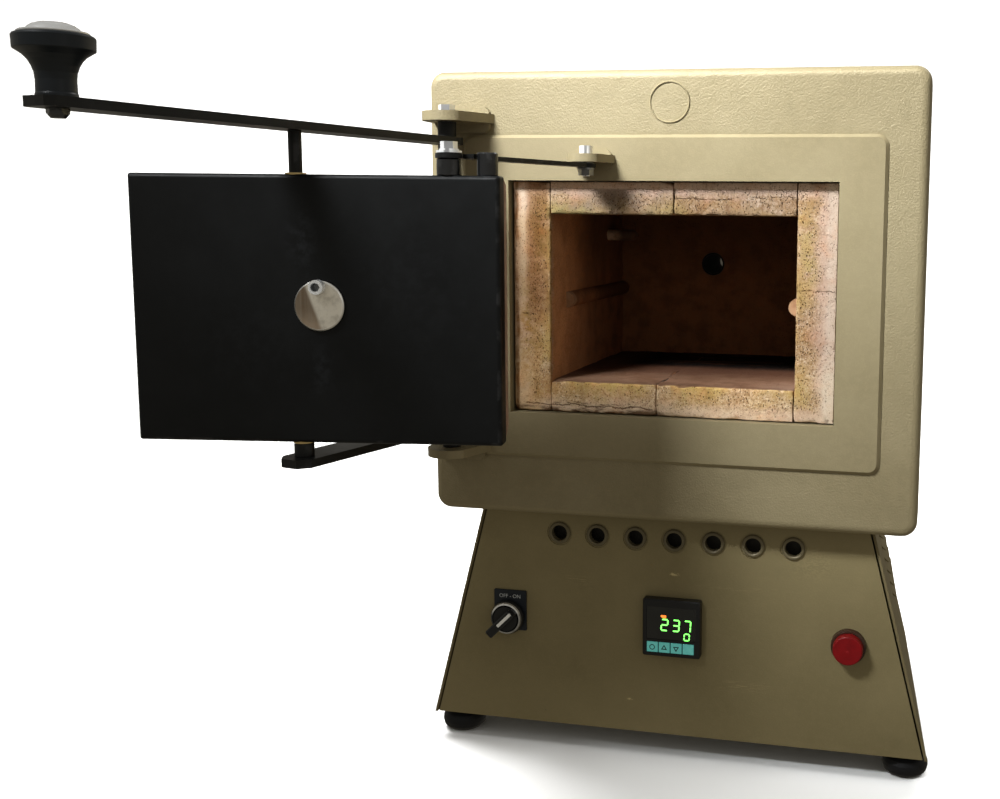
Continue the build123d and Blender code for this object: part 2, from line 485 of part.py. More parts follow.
AW = 23.0
up = prism_z([(0, -AW / 2), (ARM_K + 9.8, -AW / 2), (ARM_K + 13.4, -AW / 2 + 3.6), (ARM_K + 13.4, AW / 2 - 3.6), (ARM_K + 9.8, AW / 2), (0, AW / 2)], UP_Z0, UP_Z1) + cz(0, 0, UP_Z0, UP_Z1, AW + 1)
up = up - cz(0, 0, UP_Z0 - 1, UP_Z1 + 1, TUBE_D) - cz(ARM_A, 0, UP_Z0 - 1, UP_Z1 + 1, ROD_D) - cz(ARM_K, 0, UP_Z0 - 1, UP_Z1 + 1, 6.2)
up = up.solids()[0] if len(up.solids()) == 1 else up
keep("upper_arm", on_arm(up))
lo = bx(0, ARM_A + 4, -12.5, 12.5, LO_Z0, LO_Z1) + cz(0, 0, LO_Z0, LO_Z1, 26)
tip = prism_z([(ARM_A, -12.5), (ARM_A + 7, -12.5), (ARM_A + 14.5, -6.5), (ARM_A + 14.5, 6.5), (ARM_A + 7, 12.5), (ARM_A, 12.5)], LO_Z0, LO_Z1)
lo = lo + tip
lo = lo - cz(0, 0, LO_Z0 - 1, LO_Z1 + 1, TUBE_D) - cz(ARM_A, 0, LO_Z0 - 1, LO_Z1 + 1, ROD_D)
keep("lower_arm", on_arm(lo))
tube = cz(0, 0, LUG_B1 + 0.4, LUG_T0 - 0.4, TUBE_D)
tube -= cz(0, 0, LUG_B1 - 1, LUG_B1 + 26, PIN_D + 2 * RUN)
tube -= cz(0, 0, LUG_T0 - 26, LUG_T0 + 1, PIN_D + 2 * RUN)
keep("pivot_tube", on_arm(tube))
keep("door_pivot_rod", on_arm(cz(ARM_A, 0, LO_Z0, UP_Z1, ROD_D) + cz(ARM_A, 0, LO_Z1 + 0.2, DOOR_Z0 - 1.3, 13.0)))

# handle
kz = UP_Z1
prof = [(0, kz), (10.2, kz), (10.1, kz + 1.4), (9.8, kz + 2.2), (9.7, kz + 8.6), (10.1, kz + 12.2), (11.2, kz + 15.6), (12.9, kz + 18.6), (15.0, kz + 20.9), (16.8, kz + 22.2), (19.0, kz + 23.6), (19.35, kz + 24.0), (19.6, kz + 30.2), (18.9, kz + 31.2), (17.6, kz + 31.8), (13.2, kz + 32.0), (0, kz + 32.0)]
knob = revolve_z(prof, ARM_K, 0)
knob -= cz(ARM_K, 0, kz - 1, kz + 22, 6.0)
kt = kz + 32.0
keep("handle_knob", on_arm(knob))
cap = revolve_z([(0, kt), (16.9, kt), (17.0, kt + 0.5), (16.2, kt + 1.1), (13.2, kt + 1.5), (12.7, kt + 2.2), (11.8, kt + 3.2), (10.0, kt + 4.4), (7.2, kt + 5.4), (3.6, kt + 5.9), (0, kt + 6.0)], ARM_K, 0)
keep("handle_cap", on_arm(cap))
kb = cz(ARM_K, 0, UP_Z0 - 5.0, kz + 21, 5.9) + (hexz(ARM_K, 0, UP_Z0 - 5.2, UP_Z0, 10.0) & revolve_z([(0, UP_Z0 - 5.2), (3.6, UP_Z0 - 5.2), (6.0, UP_Z0 - 2.2), (6.0, UP_Z0), (0, UP_Z0)], ARM_K, 0))
keep("handle_bolt", on_arm(kb))

# pivot pins on the frame
pin_t = cz(AX, AY, LUG_T0 - 22, LUG_T1, PIN_D) + hexz(AX, AY, LUG_T1, LUG_T1 + 5.3, 11.0)
pin_t = pin_t - cz(AX, AY, LUG_T1 + 4.2, LUG_T1 + 6, 4.0)
pin_b = cz(AX, AY, LUG_B0 - 3.2, LUG_B1 + 22, PIN_D)
pin_b = chamfer(pin_b.edges().sort_by(Axis.Z)[0], 1.0)
keep("frame_pivot_pins", pin_t + pin_b)

# ---------------------------------------------------------------- link
DA = math.radians(DOOR_ANG)
DXO = CXO + LINK_P * math.cos(DA) - LINK_Q * math.sin(DA)
DYO = CYO + LINK_P * math.sin(DA) + LINK_Q * math.cos(DA)
LLEN = math.hypot(DXO - BX, DYO - BY)
LANG = math.degrees(math.atan2(DYO - BY, DXO - BX))


def on_link(shape):
    """From link coordinates (ear pivot at 0,0, link along +X) to the open position."""
    return shape.moved(Location((BX, BY, 0), (0, 0, LANG)))


LW = 10.0
link = bx(0, LLEN, -LW / 2, LW / 2, LINK_Z0, LINK_Z1) + cz(0, 0, LINK_Z0, LINK_Z1, 15.0) + cz(LLEN, 0, LINK_Z0, LINK_Z1, 17.6)
link += bx(LLEN - 20.5, LLEN - 9.5, 0, 12.4, LINK_Z0, LINK_Z1)
link -= cz(0, 0, LINK_Z0 - 1, LINK_Z1 + 1, 6.0 + 2 * RUN)
link -= cz(LLEN, 0, LINK_Z0 - 1, LINK_Z1 + 1, 13.4)
keep("link_bar", on_link(link))
bb = cz(BX, BY, LINK_Z0 - 6.6, EAR_Z1, 5.96) + cz(BX, BY, EAR_Z1, EAR_Z1 + 6.2, 10.0)
bb -= hexz(BX, BY, EAR_Z1 + 3.2, EAR_Z1 + 9, 5.0)
keep("link_bolt", bb)
lws = (cz(BX, BY, LINK_Z1 + 0.1, EAR_Z0, 12.0) - cz(BX, BY, LINK_Z1 - 1, EAR_Z0 + 1, 5.96)) + (cz(BX, BY, LINK_Z0 - 1.7, LINK_Z0 - 0.3, 13.0) - cz(BX, BY, LINK_Z0 - 3, LINK_Z0, 5.96))
keep("link_nut_and_washers", lws + (hexz(BX, BY, LINK_Z0 - 5.9, LINK_Z0 - 1.7, 10.0) - cz(BX, BY, LINK_Z0 - 8, LINK_Z0 - 1, 5.96)))

# ---------------------------------------------------------------- door
def on_door(shape):
    """From door coordinates to the open position."""
    return shape.moved(Location((CXO, CYO, 0), (0, 0, DOOR_ANG)))


T = 1.5
ty1 = DOOR_F + TRAY_DEPTH
tray = bx(DOOR_X0, DOOR_X1, DOOR_F, ty1, DOOR_Z0, DOOR_Z1)
tray = fillet(edges_along(tray, Axis.Y), 1.6)
tray = fillet(tray.faces().sort_by(Axis.Y)[0].edges(), 3.0)
tray -= bx(DOOR_X0 + T, DOOR_X1 - T, DOOR_F + T, ty1 + 1, DOOR_Z0 + T, DOOR_Z1 - T)
BUSH_D = 12.0
tray -= cz(0, 0, DOOR_Z0 - 2, DOOR_Z1 + 2, BUSH_D)
tray -= cy(PEEP_X, PEEP_Z, DOOR_F - 2, ty1 + 2, 18.0)
tray -= cy(PEEP_X, PEEP_SCREW_Z, DOOR_F - 2, DOOR_F + 3, 5.0)
keep("door_tray", on_door(tray))

ins = 0.4
pf, pb = DOOR_F + T + 0.3, DOOR_BACK
def plug_ring(d):
    return [(DOOR_X0 + T + ins + d, DOOR_Z0 + T + ins + d), (DOOR_X1 - T - ins - d, DOOR_Z0 + T + ins + d), (DOOR_X1 - T - ins - d, DOOR_Z1 - T - ins - d), (DOOR_X0 + T + ins + d, DOOR_Z1 - T - ins - d)]
plug = prism_y(plug_ring(0), pf, ty1)
ra = [(DOOR_X0 + 0.6, DOOR_Z0 + 0.6), (DOOR_X1 - 0.6, DOOR_Z0 + 0.6), (DOOR_X1 - 0.6, DOOR_Z1 - 0.6), (DOOR_X0 + 0.6, DOOR_Z1 - 0.6)]
rc = plug_ring(PLUG_TAPER)
fa = make_face(Polyline(*[(p[0], ty1, p[1]) for p in ra], close=True))
fb = make_face(Polyline(*[(p[0], pb, p[1]) for p in rc], close=True))
plug = plug + loft([fa, fb])
plug -= cz(0, 0, DOOR_Z0 - 2, DOOR_Z1 + 2, 13.0)
plug -= cy(PEEP_X, PEEP_Z, pf - 1, pb + 1, 16.2)
plug -= cy(PEEP_X, PEEP_SCREW_Z, pf - 1, pf + 6, 8.4)
keep("door_refractory_plug", on_door(plug))
peep = cy(PEEP_X, PEEP_Z, DOOR_F + T, pb - 1.0, 16.0) - cy(PEEP_X, PEEP_Z, DOOR_F, pb + 1, 12.0)
keep("peephole_tube", on_door(peep))
bush = None
for z0, z1, zf in ((DOOR_Z1 - 8, DOOR_Z1, 1), (DOOR_Z0, DOOR_Z0 + 8, -1)):
    b = cz(0, 0, z0, z1, BUSH_D)
    b += cz(0, 0, DOOR_Z1, DOOR_Z1 + 0.9, 13.4) if zf > 0 else cz(0, 0, DOOR_Z0 - 0.9, DOOR_Z0, 13.4)
    b -= cz(0, 0, z0 - 3, z1 + 3, ROD_D + 2 * RUN)
    bush = b if bush is None else bush + b
keep("door_pivot_bushes", on_door(bush))

# stud, collar, washer and nut that carry the link's free end
SX, SY = LINK_P, LINK_Q
zt = DOOR_Z1
col = revolve_z([(0, zt), (7.6, zt), (8.0, zt + 0.5), (8.0, zt + 10.2), (7.2, zt + 10.8), (0, zt + 10.8)], SX, SY)
col += cz(SX, SY, zt + 10.7, zt + 21.4, 5.0)
keep("link_stud", on_door(col))
lsw = on_door(cz(SX, SY, LINK_Z1 + 0.4, LINK_Z1 + 1.8, 16.4) + cz(SX, SY, LINK_Z1 + 1.8, LINK_Z1 + 2.9, 12.6) - cz(SX, SY, LINK_Z1, LINK_Z1 + 4, 5.0))
keep("link_stud_nut_and_washers", lsw + on_door(hexz(SX, SY, LINK_Z1 + 2.9, LINK_Z1 + 7.6, 9.6) - cz(SX, SY, LINK_Z1, LINK_Z1 + 9, 5.0)))
STOPX, STOPY = 125.2, 3.2
stop = revolve_z([(0, zt), (6.5, zt), (6.8, zt + 0.6), (6.8, zt + 14.2), (6.2, zt + 15.0), (0, zt + 15.0)], STOPX, STOPY)
keep("stop_buffer", on_door(stop))

# peephole cover: disc hung on a cap screw
dy = DOOR_F - 0.6
disc = revolve_y([(0, dy), (16.4, dy), (16.4, dy - 1.2), (15.6, dy - 2.0), (0, dy - 2.0)], PEEP_X, PEEP_Z)
disc -= cy(PEEP_X, PEEP_SCREW_Z, dy - 3, dy + 1, 5.1)
keep("peephole_cover", on_door(disc))
ps = cy(PEEP_X, PEEP_SCREW_Z, dy - 2.2, DOOR_F + 6, 5.0) + cy(PEEP_X, PEEP_SCREW_Z, dy - 7.2, dy - 2.2, 9.6)
hx = [(PEEP_X + 2.9 * math.cos(math.radians(60 * i)), PEEP_SCREW_Z + 2.9 * math.sin(math.radians(60 * i))) for i in range(6)]
ps -= prism_y(hx, dy - 8.2, dy - 4.4)
keep("peephole_screw", on_door(ps))

# ---------------------------------------------------------------- write
for name, shape in NODES.items():
    export_step(shape if isinstance(shape, (Solid, Compound, Part)) else Part() + shape, f"parts/{name}.step")

psc = math.atan2(CLOSED_Y - AY, CLOSED_X - AX)
THETA = math.degrees(psc) - ARM_ANG
DXC, DYC = CLOSED_X + LINK_P, CLOSED_Y + LINK_Q
LCL = math.degrees(math.atan2(DYC - BY, DXC - BX))
print("nodes", len(NODES))
print("door pivot open", round(CXO, 3), round(CYO, 3), "arm radius shut", round(math.hypot(CLOSED_X - AX, CLOSED_Y - AY), 3))
print("handle", round(KXO, 3), round(KYO, 3))
print("arm travel", round(THETA, 4), "door ratio", round(-(THETA + DOOR_ANG) / THETA, 5), "link ratio", round((LCL - LANG) / THETA, 5), "link length", round(LLEN, 3), "angle", round(LANG, 3))
print("peephole axis point", on_door(Sphere(0.1).moved(Location((PEEP_X, dy, PEEP_SCREW_Z)))).center())
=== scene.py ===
import math
import random

import bmesh
import bpy
from mathutils import Euler, Matrix, Vector, noise


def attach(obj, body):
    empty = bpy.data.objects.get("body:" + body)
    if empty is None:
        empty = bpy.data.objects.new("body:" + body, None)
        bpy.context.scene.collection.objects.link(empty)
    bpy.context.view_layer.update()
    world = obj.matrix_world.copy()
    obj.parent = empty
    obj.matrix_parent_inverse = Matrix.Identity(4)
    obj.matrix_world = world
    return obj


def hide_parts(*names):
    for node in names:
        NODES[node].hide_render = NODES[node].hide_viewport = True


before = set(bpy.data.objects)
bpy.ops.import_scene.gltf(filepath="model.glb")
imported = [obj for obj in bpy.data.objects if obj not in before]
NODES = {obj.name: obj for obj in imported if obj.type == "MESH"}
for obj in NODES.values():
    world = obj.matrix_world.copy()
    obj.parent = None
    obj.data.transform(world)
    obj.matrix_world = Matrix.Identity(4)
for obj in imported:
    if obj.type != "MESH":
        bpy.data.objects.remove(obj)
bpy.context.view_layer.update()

scene = bpy.context.scene
MM = 0.001

# ------------------------------------------------------------------ camera
cam_data = bpy.data.cameras.new("camera")
cam = bpy.data.objects.new("camera", cam_data)
scene.collection.objects.link(cam)
scene.camera = cam
cam_data.sensor_width = 36.0
cam_data.lens = 41.335
cam_data.shift_x = -0.2
cam_data.shift_y = -0.0437
cam_data.clip_start, cam_data.clip_end = 0.02, 60.0
RIGHT = Vector((0.97933, 0.20199, 0.0108))
UP = Vector((-0.03521, 0.11765, 0.99243))
FWD = Vector((-0.19919, 0.9723, -0.12233))
rot = Matrix((RIGHT, UP, -FWD)).transposed().to_4x4()
cam.matrix_world = Matrix.Translation((0.20307, -1.03178, 0.45009)) @ rot


# ------------------------------------------------------------------ node helper
class Mat:
    """A small builder for node materials in object coordinates (metres)."""

    def __init__(self, name):
        self.m = bpy.data.materials.new(name)
        self.m.use_nodes = True
        self.nt = self.m.node_tree
        self.nt.nodes.clear()
        self.out = self.nt.nodes.new("ShaderNodeOutputMaterial")
        self.b = self.nt.nodes.new("ShaderNodeBsdfPrincipled")
        self.nt.links.new(self.b.outputs[0], self.out.inputs[0])
        self._tc = None

    def new(self, kind, **kw):
        n = self.nt.nodes.new(kind)
        for k, v in kw.items():
            setattr(n, k, v)
        return n

    def link(self, a, b):
        self.nt.links.new(a, b)

    def set(self, **kw):
        for k, v in kw.items():
            s = self.b.inputs[k.replace("_", " ")]
            if isinstance(v, bpy.types.NodeSocket):
                self.link(v, s)
            else:
                s.default_value = v if not isinstance(v, tuple) or len(v) != 3 else (*v, 1.0)

    def tc(self):
        if self._tc is None:
            self._tc = self.new("ShaderNodeTexCoord")
        return self._tc

    def obj(self):
        return self.tc().outputs["Object"]

    def normal(self):
        return self.tc().outputs["Normal"]

    def stretched(self, sx, sy, sz, src=None):
        mp = self.new("ShaderNodeMapping")
        mp.inputs["Scale"].default_value = (sx, sy, sz)
        self.link(src or self.obj(), mp.inputs["Vector"])
        return mp.outputs[0]

    def noise(self, scale, detail=3.0, rough=0.55, vec=None, distortion=0.0):
        n = self.new("ShaderNodeTexNoise")
        n.inputs["Scale"].default_value = scale
        n.inputs["Detail"].default_value = detail
        n.inputs["Roughness"].default_value = rough
        n.inputs["Distortion"].default_value = distortion
        self.link(vec or self.obj(), n.inputs["Vector"])
        return n.outputs["Fac"]

    def voro(self, scale, vec=None, feature="F1", rnd=1.0, out="Distance"):
        n = self.new("ShaderNodeTexVoronoi", feature=feature)
        n.inputs["Scale"].default_value = scale
        n.inputs["Randomness"].default_value = rnd
        self.link(vec or self.obj(), n.inputs["Vector"])
        return n.outputs[out]

    def ramp(self, x, a, b, lo=0.0, hi=1.0, smooth=True):
        n = self.new("ShaderNodeMapRange")
        n.interpolation_type = "SMOOTHSTEP" if smooth else "LINEAR"
        for i, v in zip((1, 2, 3, 4), (a, b, lo, hi)):
            n.inputs[i].default_value = v
        self.link(x, n.inputs[0])
        return n.outputs[0]

    def math(self, op, a, b=None, c=None):
        n = self.new("ShaderNodeMath", operation=op)
        for i, v in enumerate((a, b, c)):
            if v is None:
                continue
            if isinstance(v, bpy.types.NodeSocket):
                self.link(v, n.inputs[i])
            else:
                n.inputs[i].default_value = v
        return n.outputs[0]

    def mix(self, fac, a, b, blend="MIX"):
        n = self.new("ShaderNodeMix", data_type="RGBA", blend_type=blend)
        for s, v in ((n.inputs[0], fac), (n.inputs[6], a), (n.inputs[7], b)):
            if isinstance(v, bpy.types.NodeSocket):
                self.link(v, s)
            elif isinstance(v, tuple):
                s.default_value = (*v, 1.0) if len(v) == 3 else v
            else:
                s.default_value = v
        return n.outputs[2]

    def xyz(self, src=None):
        n = self.new("ShaderNodeSeparateXYZ")
        self.link(src or self.obj(), n.inputs[0])
        return n.outputs[0], n.outputs[1], n.outputs[2]

    def bump(self, height, strength=0.5, distance=0.001, chain=None):
        n = self.new("ShaderNodeBump")
        n.inputs["Strength"].default_value = strength
        n.inputs["Distance"].default_value = distance
        self.link(height, n.inputs["Height"])
        if chain is not None:
            self.link(chain, n.inputs["Normal"])
        return n.outputs[0]

    def spot(self, cx, cy, cz, rx, ry, rz):
        """1 at the point, falling to 0 at the given radii."""
        n = self.new("ShaderNodeVectorMath", operation="SUBTRACT")
        self.link(self.obj(), n.inputs[0])
        n.inputs[1].default_value = (cx, cy, cz)
        s = self.new("ShaderNodeVectorMath", operation="DIVIDE")
        self.link(n.outputs[0], s.inputs[0])
        s.inputs[1].default_value = (rx, ry, rz)
        ln = self.new("ShaderNodeVectorMath", operation="LENGTH")
        self.link(s.outputs[0], ln.inputs[0])
        return self.ramp(ln.outputs["Value"], 1.0, 0.0)

    def edge_mask(self, sharp=0.93):
        """1 on fillets and bevels, where the normal lies along no axis."""
        ab = self.new("ShaderNodeVectorMath", operation="ABSOLUTE")
        self.link(self.normal(), ab.inputs[0])
        x, y, z = self.xyz(ab.outputs[0])
        m = self.math("MAXIMUM", self.math("MAXIMUM", x, y), z)
        return self.ramp(m, 0.995, sharp)


# ------------------------------------------------------------------ materials
def gold_paint(name, base, dark, rough, peel, fine, pits=True, metallic=0.3, grime=True, mottle=0.16, panel=False, scratches=(), coat=0.10, spec=0.5):
    """Metallic enamel with an orange-peel skin, a few pits and random dust blots."""
    m = Mat(name)
    broad = m.noise(9.0, 3.0)
    flake = m.noise(2600.0, 1.0)
    mott = m.noise(170.0, 3.0, 0.6)
    lite = tuple(min(1.0, c * 1.28) for c in base)
    col = m.mix(m.ramp(broad, 0.35, 0.68), base, dark)
    col = m.mix(m.ramp(mott, 0.40, 0.66, 0.0, mottle), col, lite)
    col = m.mix(m.ramp(flake, 0.55, 0.75, 0.0, 0.22), col, tuple(min(1.0, c * 1.6) for c in base))
    if grime:
        wipe = m.noise(5.0, 4.0, 0.6, m.stretched(1.0, 1.0, 4.0))
        col = m.mix(m.ramp(wipe, 0.56, 0.72, 0.0, 0.22), col, tuple(c * 0.74 for c in dark))
        blot = m.noise(38.0, 5.0, 0.65)
        col = m.mix(m.ramp(blot, 0.60, 0.74, 0.0, 0.16), col, tuple(c * 0.70 for c in dark))
    col = m.mix(m.math("MULTIPLY", m.edge_mask(), 0.22), col, tuple(min(1.0, c * 1.45) for c in base))
    rgh = m.math("ADD", rough, m.math("MULTIPLY", m.math("SUBTRACT", m.noise(60.0, 4.0), 0.5), 0.18))
    h = m.noise(peel, 2.0, 0.5)
    n2 = m.noise(peel * 3.1, 2.0, 0.5)
    if panel:
        x, y, z = m.xyz()
        inside = m.math("MULTIPLY", m.ramp(m.math("ABSOLUTE", x), 0.169, 0.163), m.math("MULTIPLY", m.ramp(z, 0.252, 0.258), m.ramp(z, 0.513, 0.507)))
        keep = m.math("SUBTRACT", 1.0, m.math("MULTIPLY", inside, 0.62))
        h = m.math("MULTIPLY", h, keep)
        n2 = m.math("MULTIPLY", n2, keep)
    n = m.bump(h, fine, 0.0009)
    n = m.bump(n2, fine * 0.7, 0.0004, n)
    n = m.bump(m.noise(26.0, 3.0, 0.6), 0.25, 0.0012, n)
    if pits:
        v = m.voro(52.0)
        mask = m.ramp(m.noise(21.0, 1.0), 0.60, 0.66)
        pit = m.math("MULTIPLY", m.ramp(v, 0.045, 0.020), mask)
        col = m.mix(m.math("MULTIPLY", pit, 0.75), col, tuple(c * 0.18 for c in dark))
        n = m.bump(m.math("SUBTRACT", 1.0, pit), 0.8, 0.0006, n)
    for (sx, sy, sz, rx, ry, rz, amount, kind) in scratches:
        sp = m.spot(sx, sy, sz, rx, ry, rz)
        if kind == "h":
            ln = m.ramp(m.noise(60.0, 4.0, 0.7, m.stretched(1.0, 1.0, 26.0)), 0.56, 0.62)
        else:
            ln = m.ramp(m.noise(900.0, 2.0, 0.5, m.stretched(0.6, 1.0, 1.0)), 0.48, 0.54)
        f = m.math("MULTIPLY", m.math("MULTIPLY", sp, ln), amount)
        col = m.mix(f, col, tuple(min(1.0, c * 2.6) for c in base))
    m.set(Base_Color=col, Metallic=metallic, Roughness=rgh, Normal=n)
    m.b.inputs["Coat Weight"].default_value = coat
    m.b.inputs["Specular IOR Level"].default_value = spec
    m.b.inputs["Coat Roughness"].default_value = 0.26
    return m.m


def black_paint(name, base=(0.0042, 0.0046, 0.0050), rough=0.40, peel=420.0, amp=0.22, dust=0.05, smears=(), spec=0.26):
    m = Mat(name)
    broad = m.noise(14.0, 4.0, 0.6)
    col = m.mix(m.ramp(broad, 0.35, 0.7, 0.0, 0.55), base, tuple(c * 1.8 + 0.0008 for c in base))
    dustn = m.noise(900.0, 2.0, 0.6)
    col = m.mix(m.ramp(dustn, 0.66, 0.78, 0.0, dust), col, (0.06, 0.06, 0.06))
    wear = m.math("MULTIPLY", m.edge_mask(), m.ramp(m.noise(70.0, 3.0), 0.50, 0.66, 0.0, 0.45))
    col = m.mix(wear, col, (0.045, 0.045, 0.046))
    rgh = m.math("ADD", rough, m.math("MULTIPLY", m.math("SUBTRACT", m.noise(32.0, 5.0, 0.65), 0.5), 0.30))
    for (x, y, z, rx, ry, rz, a) in smears:
        s = m.spot(x, y, z, rx, ry, rz)
        s = m.math("MULTIPLY", s, m.ramp(m.noise(150.0, 4.0, 0.65), 0.42, 0.66, 0.0, a))
        col = m.mix(s, col, (0.020, 0.022, 0.025))
        rgh = m.math("ADD", rgh, m.math("MULTIPLY", s, 0.25))
    n = m.bump(m.noise(peel, 2.0, 0.5), amp, 0.0003)
    scr = m.noise(260.0, 2.0, 0.5, m.stretched(1.0, 1.0, 0.04))
    n = m.bump(m.ramp(scr, 0.60, 0.68), 0.06, 0.0001, n)
    m.set(Base_Color=col, Roughness=rgh, Normal=n)
    m.b.inputs["Specular IOR Level"].default_value = spec
    return m.m


def bare_metal(name, base, rough, brush=(1.0, 1.0, 30.0), dirt=0.25, amp=0.12, scale=420.0, painted_reflection_bands=0.0, metallic=1.0):
    m = Mat(name)
    g = m.noise(scale, 3.0, 0.6, m.stretched(*brush))
    spots = m.noise(130.0, 4.0, 0.6)
    col = m.mix(m.ramp(spots, 0.45, 0.72, 0.0, dirt), base, tuple(c * 0.45 for c in base))
    col = m.mix(m.ramp(g, 0.35, 0.75, 0.0, 0.25), col, tuple(min(1.0, c * 1.2) for c in base))
    rgh = m.math("ADD", rough, m.math("MULTIPLY", m.math("SUBTRACT", g, 0.5), 0.25))
    if painted_reflection_bands:
        # painted reflection: flanks that face a little right of centre, and those underneath, are darkened to stand in
        # for a reflected surround
        nx, ny, nz = m.xyz(m.normal())
        dark = m.ramp(m.math("ABSOLUTE", m.math("SUBTRACT", nx, 0.22)), 0.30, 0.12)
        dark = m.math("MAXIMUM", dark, m.ramp(nz, -0.30, -0.80))
        col = m.mix(m.math("MULTIPLY", dark, painted_reflection_bands), col, tuple(c * 0.16 for c in base))
    n = m.bump(g, amp, 0.0002)
    m.set(Base_Color=col, Metallic=metallic, Roughness=rgh, Normal=n)
    return m.m


def moulded(name, base, rough=0.42, amp=0.15, grain=1100.0, spec=0.5, coat=0.0):
    m = Mat(name)
    v = m.noise(30.0, 4.0, 0.6)
    col = m.mix(m.ramp(v, 0.35, 0.7, 0.0, 0.6), base, tuple(min(1.0, c * 1.5 + 0.001) for c in base))
    dust = m.noise(1300.0, 2.0)
    col = m.mix(m.ramp(dust, 0.68, 0.80, 0.0, 0.05), col, (0.14, 0.14, 0.13))
    rgh = m.math("ADD", rough, m.math("MULTIPLY", m.math("SUBTRACT", m.noise(90.0, 4.0), 0.5), 0.22))
    n = m.bump(m.noise(grain, 2.0), amp, 0.00018)
    m.set(Base_Color=col, Roughness=rgh, Normal=n)
    m.b.inputs["Specular IOR Level"].default_value = spec
    m.b.inputs["Coat Weight"].default_value = coat
    m.b.inputs["Coat Roughness"].default_value = 0.12
    return m.m


CHX0, CHX1, CHZ0, CHZ1 = -0.0962, 0.0990, 0.3168, 0.4489
BY = -0.164
BZ_LO = 0.2918


